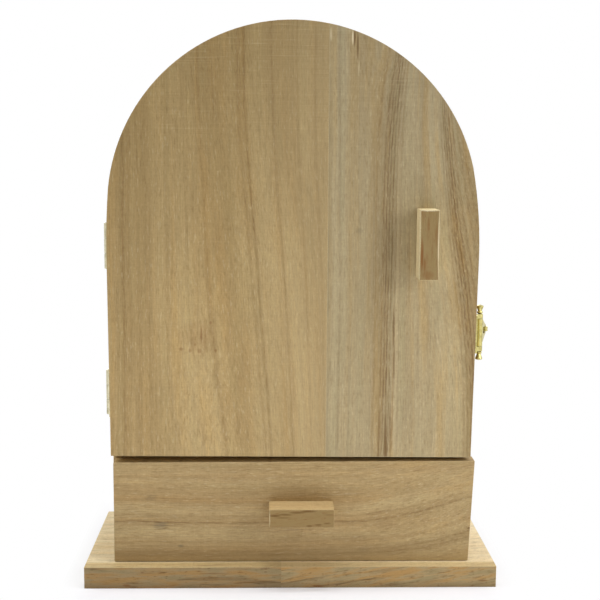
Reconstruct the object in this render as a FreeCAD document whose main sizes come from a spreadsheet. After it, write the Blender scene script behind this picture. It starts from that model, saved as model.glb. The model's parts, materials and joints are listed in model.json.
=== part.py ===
"""Arched wooden key box: a carcase with key hooks, a hinged door with a hasp, and a drawer, on a base."""

import FreeCAD
import Part
import os
import Sketcher
from FreeCAD import Placement
from FreeCAD import Rotation
from FreeCAD import Vector

# Driving dimensions in millimetres, angles in degrees
SIZES = {
    # Base board, by what it shows around the box
    "base_thickness": 12,
    "front_ledge": 9,
    "side_ledge": 14.5,
    "back_ledge": 8.5,
    # Carcase; the spring height is where the straight sides turn into the arch
    "carcase_width": 200,
    "side_depth": 64,
    "side_thickness": 8,
    "spring_height": 210,
    "arch_thickness": 6,
    "back_thickness": 8,
    "floor_thickness": 8,
    "housing_depth": 2,
    "front_gap": 0.5,
    # Door, glued up from two boards; its foot hangs lower on the hasp side, and its sawn edges swell
    # a little up to the shoulders and run out into the arch at the given angles
    "door_thickness": 10,
    "door_seam": 19,
    "door_foot_slope": 0.9,
    "left_swell": 0.8,
    "right_swell": 1.8,
    "shoulder_rise": 114,
    "left_run_out": 6,
    "right_run_out": 13,
    "reveal": 3,
    # Drawer front, cut a little out of square
    "drawer_front_thickness": 10,
    "drawer_front_trim": 0.1,
    "drawer_front_height": 57.2,
    "drawer_front_shift": 1.2,
    "drawer_front_lean": 2.6,
    "drawer_top_slope": 0.9,
    "drawer_lift": 0.3,
    # Drawer box and the grooves that hold its bottom
    "drawer_side_gap": 1,
    "drawer_back_gap": 4.5,
    "drawer_wall_drop": 15.2,
    "drawer_wall": 6,
    "drawer_bottom_thickness": 3,
    "groove_height": 4,
    "groove_depth": 3,
    "groove_clearance": 0.1,
    # Handles, cut from one stick
    "handle_width": 10,
    "handle_depth": 16,
    "door_handle_length": 37.5,
    "door_handle_inset": 27.7,
    "door_handle_drop": 18.2,
    "drawer_handle_length": 35.5,
    "drawer_handle_across": 5.4,
    "drawer_handle_rise": 29.7,
    # Butt hinges
    "hinge_length": 25,
    "hinge_leaf_width": 8.5,
    "hinge_leaf_thickness": 0.8,
    "hinge_barrel": 3,
    "hinge_pin": 1.5,
    "hinge_pin_proud": 0.3,
    "hinge_stand_off": 0.3,
    "hinge_screw_spacing": 15,
    "upper_hinge_drop": 21.3,
    "lower_hinge_rise": 34.5,
    "knuckle_gap": 0.2,
    "leaf_relief": 0.3,
    "pin_clearance": 0.04,
    # Hasp; the flap stands ajar by the given angle
    "hasp_rise": 68.5,
    "hasp_stand": 4,
    "hasp_plate_height": 21,
    "hasp_plate_width": 8.4,
    "hasp_plate_thickness": 1.4,
    "hasp_barrel": 3.6,
    "hasp_pin": 1.6,
    "hasp_end_knuckle": 2.5,
    "hasp_flap_length": 16,
    "hasp_flap_thickness": 1.2,
    "hasp_flap_shoulder": 4,
    "hasp_tip_width": 6,
    "hasp_lip": 2.2,
    "hasp_lip_length": 2.6,
    "hasp_slot_length": 4.6,
    "hasp_slot_width": 3.6,
    "hasp_screw_spacing": 12,
    "hasp_ajar": 22,
    # Turned finials on the hasp pin
    "finial_bead": 3.2,
    "finial_bead_height": 1.6,
    "finial_bead_chamfer": 0.5,
    "finial_neck": 2.2,
    "finial_flare": 3.9,
    "finial_flare_height": 2.2,
    "finial_rim": 0.7,
    "finial_dome": 0.7,
    # Keeper plate and stud on the carcase side
    "keeper_reach": 10,
    "keeper_height": 15,
    "keeper_width": 9,
    "keeper_thickness": 1.2,
    "keeper_corner": 1.5,
    "keeper_boss": 5.6,
    "keeper_screw_spacing": 10.6,
    "flap_rest_gap": 0.3,
    "stud_neck": 2.2,
    "stud_head": 3,
    "stud_head_height": 1.5,
    "stud_proud": 3.2,
    "stud_chamfer": 0.5,
    # Key hooks bent from wire, in two rows on the back panel
    "hook_wire": 2.2,
    "hook_flange": 6,
    "hook_flange_thickness": 1.2,
    "hook_shank": 6,
    "hook_arm": 9,
    "hook_bend": 3,
    "hook_tip_rise": 9,
    "hook_spacing": 45,
    "upper_hook_rise": 14,
    "lower_hook_drop": 60,
    # Screw holes in the brass plates, and the fit of what sits in a hole
    "screw_hole": 1.7,
    "screw_sink": 3.3,
    "seat_clearance": 0.05,
}

HOOKS_PER_ROW = 3
WIRE_SIDES = 8
COUNTERSINK_ANGLE = 90

doc = FreeCAD.newDocument("key_box")
sheet = doc.addObject("Spreadsheet::Sheet", "sheet")
for row, (alias, number) in enumerate(SIZES.items(), start=1):
    sheet.set(f"A{row}", alias)
    sheet.set(f"B{row}", str(number))
    sheet.setAlias(f"B{row}", alias)
doc.recompute()

# Places shared by several pieces, as expressions on the sheet
HALF = "(sheet.carcase_width / 2)"
INSIDE = f"({HALF} - sheet.side_thickness)"
BOX_DEPTH = "(sheet.drawer_front_thickness + sheet.front_gap + sheet.side_depth + sheet.back_thickness)"
BASE_HALF_WIDTH = f"({HALF} + sheet.side_ledge)"
BASE_HALF_DEPTH = f"((sheet.front_ledge + {BOX_DEPTH} + sheet.back_ledge) / 2)"
PARTING = f"(sheet.front_ledge + sheet.drawer_front_thickness - {BASE_HALF_DEPTH})"
CARCASE_FRONT = f"({PARTING} + sheet.front_gap)"
PANEL_FRONT = f"({CARCASE_FRONT} + sheet.side_depth)"
PANEL_BACK = f"({PANEL_FRONT} + sheet.back_thickness)"
SIDE_HEIGHT = "(sheet.spring_height - sheet.base_thickness)"
DRAWER_FOOT = "(sheet.base_thickness + sheet.drawer_lift)"
DRAWER_TOP = f"({DRAWER_FOOT} + sheet.drawer_front_height)"
DOOR_FOOT = f"({DRAWER_TOP} + sheet.reveal)"
DOOR_SPRING = f"(sheet.spring_height - {DOOR_FOOT})"
FLOOR_FOOT = f"({DRAWER_TOP} + sheet.reveal / 2 - sheet.floor_thickness / 2)"
PIVOT_DEPTH = f"({PARTING} + sheet.front_gap / 2)"

HINGE_REACH = "(sheet.hinge_stand_off + sheet.hinge_barrel / 2)"
HINGE_ACROSS = f"(-{HALF} - {HINGE_REACH})"
HINGE_HEIGHTS = {
    "upper": "(sheet.spring_height - sheet.upper_hinge_drop)",
    "lower": f"({DOOR_FOOT} + sheet.lower_hinge_rise)",
}
LEAF_EDGE = "(sheet.hinge_barrel / 2 + sheet.leaf_relief)"
LEAF_SCREW = f"(({LEAF_EDGE} + sheet.hinge_leaf_width) / 2)"
MIDDLE_KNUCKLE = "(sheet.hinge_length / 6 - sheet.knuckle_gap / 2)"
END_KNUCKLE = "(sheet.hinge_length / 6 + sheet.knuckle_gap / 2)"

HASP_SEAT = "(sheet.right_swell * (sheet.hasp_rise - sheet.hasp_plate_height / 2) / sheet.shoulder_rise)"
HASP_REACH = f"({HASP_SEAT} + sheet.hasp_stand)"
HASP_ACROSS = f"({HALF} + {HASP_REACH})"
HASP_HEIGHT = f"({DOOR_FOOT} + sheet.hasp_rise)"
HASP_PLATE_TOP = "(sheet.hasp_plate_thickness - sheet.hasp_stand)"
HASP_SCREW_DEPTH = "((sheet.hasp_plate_width + sheet.hasp_barrel / 2) / 2)"
FLAP_HALF = "(sheet.hasp_plate_height / 2 - sheet.hasp_end_knuckle - sheet.knuckle_gap)"
KEEPER_DEPTH = f"({PIVOT_DEPTH} + sheet.keeper_reach)"

STUD_HOLE = "(sheet.stud_neck + 2 * sheet.seat_clearance)"
HOOK_HOLE = "(sheet.hook_wire + 2 * sheet.seat_clearance)"

sub_parts = []


def value(expression):
    """Number that an expression on the sheet gives at this moment."""
    return float(sheet.evalExpression(expression))


def place(piece, across="0", depth="0", height="0"):
    """Bind a piece's position to the sheet."""
    for letter, expression in zip("xyz", (across, depth, height)):
        piece.setExpression(f"Placement.Base.{letter}", expression)


def new_body(label, across="0", depth="0", height="0"):
    body = doc.addObject("PartDesign::Body", label)
    body.Label = label
    place(body, across, depth, height)
    sub_parts.append(body)
    return body


def new_sketch(body, role, offset="0"):
    """Sketch on one of the body's own origin planes, lifted along the plane's normal."""
    sketch = body.newObject("Sketcher::SketchObject", f"{body.Name}_sketch")
    plane = next(feature for feature in body.Origin.OriginFeatures if feature.Role == role)
    sketch.AttachmentSupport = [(plane, "")]
    sketch.MapMode = "FlatFace"
    sketch.setExpression("AttachmentOffset.Base.z", offset)
    return sketch


def bind(sketch, kind, geometry, point, expression):
    """Hold one coordinate of a sketch point at an expression."""
    index = sketch.addConstraint(Sketcher.Constraint(kind, -1, 1, geometry, point, value(expression)))
    name = f"{kind}_{geometry}_{point}"
    sketch.renameConstraint(index, name)
    sketch.setExpression(f"Constraints.{name}", expression)


def bind_point(sketch, geometry, point, across, up):
    bind(sketch, "DistanceX", geometry, point, across)
    bind(sketch, "DistanceY", geometry, point, up)


def add_arc(sketch, start, end, centre, clockwise):
    """Arc between two points, returned with the numbers of its first and last point."""
    middle = Vector(value(centre[0]), value(centre[1]), 0)
    circle = Part.Circle(middle, Vector(0, 0, 1), (start - middle).Length)
    first, last = (end, start) if clockwise else (start, end)
    arc = Part.ArcOfCircle(circle, circle.parameter(first), circle.parameter(last))
    geometry = sketch.addGeometry(arc, False)
    chord = end - start
    if abs(chord.x) >= abs(chord.y):
        bind(sketch, "DistanceY", geometry, 3, centre[1])
    else:
        bind(sketch, "DistanceX", geometry, 3, centre[0])
    return (geometry, 2, 1) if clockwise else (geometry, 1, 2)


def outline(sketch, points, arcs=None, closed=True):
    """Chain of lines through points given as expressions.

    An entry of arcs turns the stretch after that point into an arc: (centre, clockwise).
    """
    arcs = arcs or {}
    spots = [Vector(value(across), value(up), 0) for across, up in points]
    count = len(points) if closed else len(points) - 1
    chain = []
    for index in range(count):
        start = spots[index]
        end = spots[(index + 1) % len(points)]
        if index in arcs:
            chain.append(add_arc(sketch, start, end, *arcs[index]))
        else:
            chain.append((sketch.addGeometry(Part.LineSegment(start, end), False), 1, 2))
    links = len(chain) if closed else len(chain) - 1
    for index in range(links):
        geometry, _, last = chain[index]
        follower, first, _ = chain[(index + 1) % len(chain)]
        sketch.addConstraint(Sketcher.Constraint("Coincident", geometry, last, follower, first))
    for (geometry, first, _), point in zip(chain, points):
        bind_point(sketch, geometry, first, *point)
    if not closed:
        geometry, _, last = chain[-1]
        bind_point(sketch, geometry, last, *points[-1])


def rectangle(sketch, left, low, right, high):
    outline(sketch, [(left, low), (right, low), (right, high), (left, high)])


def circles(sketch, centres, diameter):
    for across, up in centres:
        middle = Vector(value(across), value(up), 0)
        circle = Part.Circle(middle, Vector(0, 0, 1), value(diameter) / 2)
        geometry = sketch.addGeometry(circle, False)
        bind_point(sketch, geometry, 3, across, up)
        index = sketch.addConstraint(Sketcher.Constraint("Diameter", geometry, value(diameter)))
        name = f"diameter_{geometry}"
        sketch.renameConstraint(index, name)
        sketch.setExpression(f"Constraints.{name}", diameter)


def wire_section(sketch, centres, diameter):
    """Regular polygon in place of a small circle, to keep thin round pieces light."""
    for across, up in centres:
        points = []
        for index in range(WIRE_SIDES):
            turn = f"{360 * (index + 0.5) / WIRE_SIDES} deg"
            point_across = f"{across} + {diameter} / 2 * cos({turn})"
            point_up = f"{up} + {diameter} / 2 * sin({turn})"
            points.append((point_across, point_up))
        outline(sketch, points)


def pad(body, sketch, length, backwards=False, both_ways=False):
    feature = body.newObject("PartDesign::Pad", f"{body.Name}_pad")
    feature.Profile = sketch
    feature.setExpression("Length", length)
    feature.Reversed = backwards
    feature.SideType = "Symmetric" if both_ways else "One side"
    return feature


def pocket(body, sketch, depth, along_normal=False, both_ways=False):
    """Cut a sketch into the body and make sure that it takes wood or metal away."""
    doc.recompute()
    before = body.Shape.Volume
    feature = body.newObject("PartDesign::Pocket", f"{body.Name}_pocket")
    feature.Profile = sketch
    feature.setExpression("Length", depth)
    feature.Reversed = along_normal
    feature.SideType = "Symmetric" if both_ways else "One side"
    doc.recompute()
    if body.Shape.Volume >= before:
        raise RuntimeError(f"a cut in {body.Label} takes nothing away")
    return feature


def countersink(body, offset, centres, along_normal):
    """Screw holes through a plate, each with a conical seat for the head."""
    sketch = new_sketch(body, "YZ_Plane", offset)
    circles(sketch, centres, "sheet.screw_hole")
    doc.recompute()
    before = body.Shape.Volume
    hole = body.newObject("PartDesign::Hole", f"{body.Name}_hole")
    hole.Profile = sketch
    doc.recompute()
    hole.Reversed = along_normal
    hole.DepthType = "ThroughAll"
    hole.setExpression("Diameter", "sheet.screw_hole")
    hole.HoleCutType = "Countersink"
    hole.HoleCutCustomValues = True
    hole.setExpression("HoleCutDiameter", "sheet.screw_sink")
    hole.HoleCutCountersinkAngle = COUNTERSINK_ANGLE
    doc.recompute()
    if body.Shape.Volume >= before:
        raise RuntimeError(f"a screw hole in {body.Label} takes nothing away")


def board(label, role, corners, thickness, across="0", depth="0", height="0", backwards=False):
    """Flat board from a rectangle, given as its left, low, right and high edges."""
    body = new_body(label, across, depth, height)
    sketch = new_sketch(body, role)
    rectangle(sketch, *corners)
    pad(body, sketch, thickness, backwards)
    return body


def spread(spacing):
    """Two places, half a spacing either side of the middle."""
    return [f"-{spacing} / 2", f"{spacing} / 2"]


# Base board
def make_base():
    corners = (f"-{BASE_HALF_WIDTH}", f"-{BASE_HALF_DEPTH}", BASE_HALF_WIDTH, BASE_HALF_DEPTH)
    board("base_board", "XY_Plane", corners, "sheet.base_thickness")


# Carcase
def make_side(label, sign, to_right):
    """Upright side with a housing for the floor; its own frame has the outer face at x = 0."""
    side = board(
        label,
        "YZ_Plane",
        ("0", "0", "sheet.side_depth", SIDE_HEIGHT),
        "sheet.side_thickness",
        f"{sign}{HALF}",
        CARCASE_FRONT,
        "sheet.base_thickness",
        not to_right,
    )
    inner = "sheet.side_thickness" if to_right else "-sheet.side_thickness"
    housing = new_sketch(side, "YZ_Plane", inner)
    low = f"({FLOOR_FOOT} - sheet.base_thickness)"
    rectangle(housing, "0", low, "sheet.side_depth", f"{low} + sheet.floor_thickness")
    pocket(side, housing, "sheet.housing_depth", along_normal=not to_right)


def make_sides():
    make_side("left_side", "-", True)
    make_side("right_side", "", False)


def make_arch():
    arch = new_body("arch_top", "0", PANEL_FRONT, "sheet.spring_height")
    sketch = new_sketch(arch, "XZ_Plane")
    inner = f"({HALF} - sheet.arch_thickness)"
    points = [(inner, "0"), (HALF, "0"), (f"-{HALF}", "0"), (f"-{inner}", "0")]
    outline(sketch, points, {1: (("0", "0"), False), 3: (("0", "0"), True)})
    pad(arch, sketch, "sheet.side_depth")


def make_back():
    back = new_body("back_panel", "0", PANEL_BACK, "sheet.base_thickness")
    sketch = new_sketch(back, "XZ_Plane")
    points = [(f"-{HALF}", "0"), (HALF, "0"), (HALF, SIDE_HEIGHT), (f"-{HALF}", SIDE_HEIGHT)]
    outline(sketch, points, {2: (("0", SIDE_HEIGHT), False)})
    pad(back, sketch, "sheet.back_thickness")
    holes = new_sketch(back, "XZ_Plane", "sheet.back_thickness")
    spots = [(across, f"{height} - sheet.base_thickness") for across, height in hook_spots()]
    wire_section(holes, spots, HOOK_HOLE)
    pocket(back, holes, "sheet.hook_shank + sheet.seat_clearance")


def make_floor():
    half = f"({INSIDE} + sheet.housing_depth - sheet.seat_clearance)"
    board(
        "cabinet_floor",
        "XY_Plane",
        (f"-{half}", "0", half, "sheet.side_depth"),
        "sheet.floor_thickness",
        "0",
        CARCASE_FRONT,
        FLOOR_FOOT,
    )


# Key hooks
HOOK_ROWS = {
    "upper": "(sheet.spring_height + sheet.upper_hook_rise)",
    "lower": "(sheet.spring_height - sheet.lower_hook_drop)",
}


def hook_spots():
    """Places of the hooks on the back panel, row by row."""
    middle = (HOOKS_PER_ROW - 1) / 2
    return [
        (f"({index - middle} * sheet.hook_spacing)", height)
        for height in HOOK_ROWS.values()
        for index in range(HOOKS_PER_ROW)
    ]


def make_hook(label, across, height):
    """Square-bend hook; its own frame has the panel's face at y = 0 and the wall behind it."""
    hook = new_body(label, across, PANEL_FRONT, height)
    flange = new_sketch(hook, "XZ_Plane")
    wire_section(flange, [("0", "0")], "sheet.hook_flange")
    pad(hook, flange, "sheet.hook_flange_thickness")
    upright = "(-sheet.hook_arm - sheet.hook_bend)"
    points = [
        ("sheet.hook_shank", "0"),
        ("-sheet.hook_arm", "0"),
        (upright, "sheet.hook_bend"),
        (upright, "sheet.hook_tip_rise"),
    ]
    path = new_sketch(hook, "YZ_Plane")
    outline(path, points, {1: (("-sheet.hook_arm", "sheet.hook_bend"), True)}, closed=False)
    section = new_sketch(hook, "XZ_Plane", "-sheet.hook_shank")
    wire_section(section, [("0", "0")], "sheet.hook_wire")
    doc.recompute()
    wire = hook.newObject("PartDesign::AdditivePipe", f"{label}_wire")
    wire.Profile = section
    wire.Spine = path


def make_hooks():
    for number, (across, height) in enumerate(hook_spots(), start=1):
        make_hook(f"key_hook_{number}", across, height)


# Door
def shoulder(swell, run_out):
    """Where a swelling edge meets the arch, and the middle of the arc that leads there."""
    across = f"({HALF} * cos({run_out}))"
    up = f"({DOOR_SPRING} + {HALF} * sin({run_out}))"
    fall = f"({HALF} + {swell} - {across})"
    rise = f"({up} - sheet.shoulder_rise)"
    radius = f"(({fall}^2 + {rise}^2) / (2 * {fall}))"
    return across, up, f"({HALF} + {swell} - {radius})"


def let_in(half_door, seat, depth, plate_width, plate_height, rise, to_right):
    """Shallow recess in the edge of a door board, so that a brass plate lies flat in it."""
    recess = new_sketch(half_door, "YZ_Plane", seat)
    front = f"sheet.front_gap / 2 - {plate_width} - sheet.seat_clearance"
    half = f"({plate_height} / 2 + sheet.seat_clearance)"
    rectangle(recess, front, f"{rise} - {half}", "sheet.front_gap", f"{rise} + {half}")
    pocket(half_door, recess, depth, along_normal=to_right)


def make_door():
    """Two boards that share one arched outline, parted along the glue line."""
    seam_height = f"({DOOR_SPRING} + sqrt({HALF}^2 - sheet.door_seam^2))"
    slope = "(sheet.door_foot_slope / sheet.carcase_width)"
    seam_foot = f"-{slope} * sheet.door_seam"
    crown = (("0", DOOR_SPRING), False)
    left_across, left_up, left_middle = shoulder("sheet.left_swell", "sheet.left_run_out")
    right_across, right_up, right_middle = shoulder("sheet.right_swell", "sheet.right_run_out")
    left_points = [
        (f"-{HALF}", f"{slope} * {HALF}"),
        ("sheet.door_seam", seam_foot),
        ("sheet.door_seam", seam_height),
        (f"-{left_across}", left_up),
        (f"-{HALF} - sheet.left_swell", "sheet.shoulder_rise"),
    ]
    right_points = [
        ("sheet.door_seam", seam_foot),
        (HALF, f"-{slope} * {HALF}"),
        (f"{HALF} + sheet.right_swell", "sheet.shoulder_rise"),
        (right_across, right_up),
        ("sheet.door_seam", seam_height),
    ]
    left_arcs = {2: crown, 3: ((f"-{left_middle}", "sheet.shoulder_rise"), False)}
    right_arcs = {2: ((right_middle, "sheet.shoulder_rise"), False), 3: crown}
    boards = []
    for label, points, arcs in (
        ("door_left_board", left_points, left_arcs),
        ("door_right_board", right_points, right_arcs),
    ):
        half_door = new_body(label, "0", PARTING, DOOR_FOOT)
        sketch = new_sketch(half_door, "XZ_Plane")
        outline(sketch, points, arcs)
        pad(half_door, sketch, "sheet.door_thickness")
        boards.append(half_door)
    left, right = boards
    for height in HINGE_HEIGHTS.values():
        rise = f"({height} - {DOOR_FOOT})"
        let_in(
            left,
            f"-{HALF}",
            "sheet.left_swell",
            "sheet.hinge_leaf_width",
            "sheet.hinge_length",
            rise,
            False,
        )
    let_in(
        right,
        f"{HALF} + {HASP_SEAT}",
        "sheet.right_swell",
        "sheet.hasp_plate_width",
        "sheet.hasp_plate_height",
        "sheet.hasp_rise",
        True,
    )


def make_handle(label, width, height, across, front, up):
    """Plain block on the face of a front, given by its middle."""
    corners = (f"-{width} / 2", f"-{height} / 2", f"{width} / 2", f"{height} / 2")
    board(label, "XZ_Plane", corners, "sheet.handle_depth", across, front, up)


def make_handles():
    make_handle(
        "door_handle",
        "sheet.handle_width",
        "sheet.door_handle_length",
        f"{HALF} - sheet.door_handle_inset",
        f"{PARTING} - sheet.door_thickness",
        "sheet.spring_height - sheet.door_handle_drop",
    )
    make_handle(
        "drawer_handle",
        "sheet.drawer_handle_length",
        "sheet.handle_width",
        "sheet.drawer_handle_across",
        f"{PARTING} - sheet.drawer_front_thickness",
        f"{DRAWER_FOOT} + sheet.drawer_handle_rise",
    )


# Hinges; the frame of each leaf has the pin along z through the middle of the hinge
def finish_leaf(leaf, screw_depth):
    """Pin bore and screw holes, alike on both leaves."""
    bore = new_sketch(leaf, "XY_Plane")
    circles(bore, [("0", "0")], "sheet.hinge_pin + 2 * sheet.pin_clearance")
    pocket(leaf, bore, "2 * sheet.hinge_length", both_ways=True)
    holes = [(screw_depth, step) for step in spread("sheet.hinge_screw_spacing")]
    outside = f"{HINGE_REACH} - sheet.hinge_leaf_thickness"
    countersink(leaf, outside, holes, True)


def make_leaf_plate(label, height, points):
    leaf = new_body(label, HINGE_ACROSS, PIVOT_DEPTH, height)
    plate = new_sketch(leaf, "YZ_Plane", f"{HINGE_REACH} - sheet.hinge_leaf_thickness")
    outline(plate, points)
    pad(leaf, plate, "sheet.hinge_leaf_thickness")
    barrel = new_sketch(leaf, "XY_Plane")
    circles(barrel, [("0", "0")], "sheet.hinge_barrel")
    return leaf, barrel


def make_door_leaf(name, height):
    far = "-sheet.hinge_leaf_width"
    near = f"-{LEAF_EDGE}"
    top = "sheet.hinge_length / 2"
    points = [
        (far, f"-{top}"),
        (near, f"-{top}"),
        (near, f"-{MIDDLE_KNUCKLE}"),
        ("0", f"-{MIDDLE_KNUCKLE}"),
        ("0", MIDDLE_KNUCKLE),
        (near, MIDDLE_KNUCKLE),
        (near, top),
        (far, top),
    ]
    leaf, barrel = make_leaf_plate(f"{name}_hinge_door_leaf", height, points)
    pad(leaf, barrel, f"2 * {MIDDLE_KNUCKLE}", both_ways=True)
    finish_leaf(leaf, f"-{LEAF_SCREW}")


def make_cabinet_leaf(name, height):
    far = "sheet.hinge_leaf_width"
    near = LEAF_EDGE
    top = "sheet.hinge_length / 2"
    points = [
        ("0", f"-{top}"),
        (far, f"-{top}"),
        (far, top),
        ("0", top),
        ("0", END_KNUCKLE),
        (near, END_KNUCKLE),
        (near, f"-{END_KNUCKLE}"),
        ("0", f"-{END_KNUCKLE}"),
    ]
    leaf, barrel = make_leaf_plate(f"{name}_hinge_cabinet_leaf", height, points)
    pad(leaf, barrel, "sheet.hinge_length", both_ways=True)
    notch = new_sketch(leaf, "XY_Plane")
    circles(notch, [("0", "0")], f"2 * {LEAF_EDGE}")
    pocket(leaf, notch, f"2 * {END_KNUCKLE}", both_ways=True)
    finish_leaf(leaf, LEAF_SCREW)


def make_hinges():
    for name, height in HINGE_HEIGHTS.items():
        make_door_leaf(name, height)
        make_cabinet_leaf(name, height)
        pin = doc.addObject("Part::Cylinder", f"{name}_hinge_pin")
        pin.Label = f"{name}_hinge_pin"
        pin.setExpression("Radius", "sheet.hinge_pin / 2")
        pin.setExpression("Height", "sheet.hinge_length + 2 * sheet.hinge_pin_proud")
        foot = f"{height} - sheet.hinge_length / 2 - sheet.hinge_pin_proud"
        place(pin, HINGE_ACROSS, PIVOT_DEPTH, foot)
        sub_parts.append(pin)


# Hasp; the frames of its plate, flap and pin have the pin along z through the middle of the barrel
def make_hasp_plate():
    plate = new_body("hasp_door_plate", HASP_ACROSS, PIVOT_DEPTH, HASP_HEIGHT)
    radius = "(sheet.hasp_barrel / 2)"
    wood = "-sheet.hasp_stand"
    front = "-sheet.hasp_plate_width"
    rear = f"-{radius} / 2"
    lug = new_sketch(plate, "XY_Plane")
    points = [
        (wood, front),
        (HASP_PLATE_TOP, front),
        (HASP_PLATE_TOP, f"-{radius} - sheet.leaf_relief"),
        ("0", f"-{radius}"),
        ("0", radius),
        (wood, rear),
    ]
    outline(lug, points, {3: (("0", "0"), False)})
    pad(plate, lug, "sheet.hasp_plate_height", both_ways=True)
    gap = new_sketch(plate, "XY_Plane")
    clear = f"({radius} + sheet.leaf_relief)"
    rectangle(gap, HASP_PLATE_TOP, f"-{clear}", clear, clear)
    pocket(plate, gap, f"2 * ({FLAP_HALF} + sheet.knuckle_gap)", both_ways=True)
    bore = new_sketch(plate, "XY_Plane")
    circles(bore, [("0", "0")], "sheet.hasp_pin + 2 * sheet.pin_clearance")
    pocket(plate, bore, "2 * sheet.hasp_plate_height", both_ways=True)
    holes = [(f"-{HASP_SCREW_DEPTH}", step) for step in spread("sheet.hasp_screw_spacing")]
    countersink(plate, HASP_PLATE_TOP, holes, False)


def make_hasp_flap():
    flap = new_body("hasp_flap", HASP_ACROSS, PIVOT_DEPTH, HASP_HEIGHT)
    flap.Placement = Placement(flap.Placement.Base, Rotation(Vector(0, 0, 1), 0))
    flap.setExpression("Placement.Rotation.Angle", "-sheet.hasp_ajar")
    tip = "(sheet.hasp_tip_width / 2)"
    tip_start = f"(sheet.hasp_flap_length - {tip})"
    tongue = new_sketch(flap, "YZ_Plane")
    points = [
        ("0", f"-{FLAP_HALF}"),
        ("sheet.hasp_flap_shoulder", f"-{FLAP_HALF}"),
        (tip_start, f"-{tip}"),
        (tip_start, tip),
        ("sheet.hasp_flap_shoulder", FLAP_HALF),
        ("0", FLAP_HALF),
    ]
    outline(tongue, points, {2: ((tip_start, "0"), False)})
    pad(flap, tongue, "sheet.hasp_flap_thickness", both_ways=True)
    knuckle = new_sketch(flap, "XY_Plane")
    circles(knuckle, [("0", "0")], "sheet.hasp_barrel")
    pad(flap, knuckle, f"2 * {FLAP_HALF}", both_ways=True)
    lip = new_sketch(flap, "XY_Plane")
    curl = ("sheet.hasp_flap_thickness / 2", "sheet.hasp_flap_length - sheet.hasp_lip / 2")
    circles(lip, [curl], "sheet.hasp_lip")
    pad(flap, lip, "sheet.hasp_lip_length", both_ways=True)
    bore = new_sketch(flap, "XY_Plane")
    circles(bore, [("0", "0")], "sheet.hasp_pin + 2 * sheet.pin_clearance")
    pocket(flap, bore, "2 * sheet.hasp_plate_height", both_ways=True)
    slot = new_sketch(flap, "YZ_Plane")
    half_long = "sheet.hasp_slot_length / 2"
    half_wide = "sheet.hasp_slot_width / 2"
    near = f"sheet.keeper_reach - {half_long}"
    far = f"sheet.keeper_reach + {half_long}"
    rectangle(slot, near, f"-{half_wide}", far, half_wide)
    pocket(flap, slot, "2 * sheet.hasp_flap_thickness", both_ways=True)


def make_hasp_pin():
    """Pin with a turned bead and a flared cup with a low dome at each end."""
    pin = new_body("hasp_pin", HASP_ACROSS, PIVOT_DEPTH, HASP_HEIGHT)
    shaft = "sheet.hasp_pin / 2"
    neck = "sheet.finial_neck / 2"
    bead = "(sheet.finial_bead / 2)"
    flare = "sheet.finial_flare / 2"
    seat = "(sheet.hasp_plate_height / 2 + sheet.knuckle_gap / 2)"
    bead_top = f"({seat} + sheet.finial_bead_height)"
    cup_top = f"({bead_top} + sheet.finial_flare_height)"
    rim_top = f"({cup_top} + sheet.finial_rim)"
    profile = new_sketch(pin, "XZ_Plane")
    points = [
        ("0", "0"),
        (shaft, "0"),
        (shaft, seat),
        (neck, seat),
        (bead, f"{seat} + sheet.finial_bead_chamfer"),
        (bead, f"{bead_top} - sheet.finial_bead_chamfer"),
        (neck, bead_top),
        (flare, cup_top),
        (flare, rim_top),
        ("0", f"{rim_top} + sheet.finial_dome"),
    ]
    outline(profile, points)
    turned = pin.newObject("PartDesign::Revolution", "hasp_pin_turned")
    turned.Profile = profile
    turned.ReferenceAxis = (profile, ["V_Axis"])
    turned.Angle = 360
    doc.recompute()
    mirror = pin.newObject("PartDesign::Mirrored", "hasp_pin_mirrored")
    plane = next(feature for feature in pin.Origin.OriginFeatures if feature.Role == "XY_Plane")
    mirror.Originals = [turned]
    mirror.MirrorPlane = (plane, [""])
    pin.Tip = mirror


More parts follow.
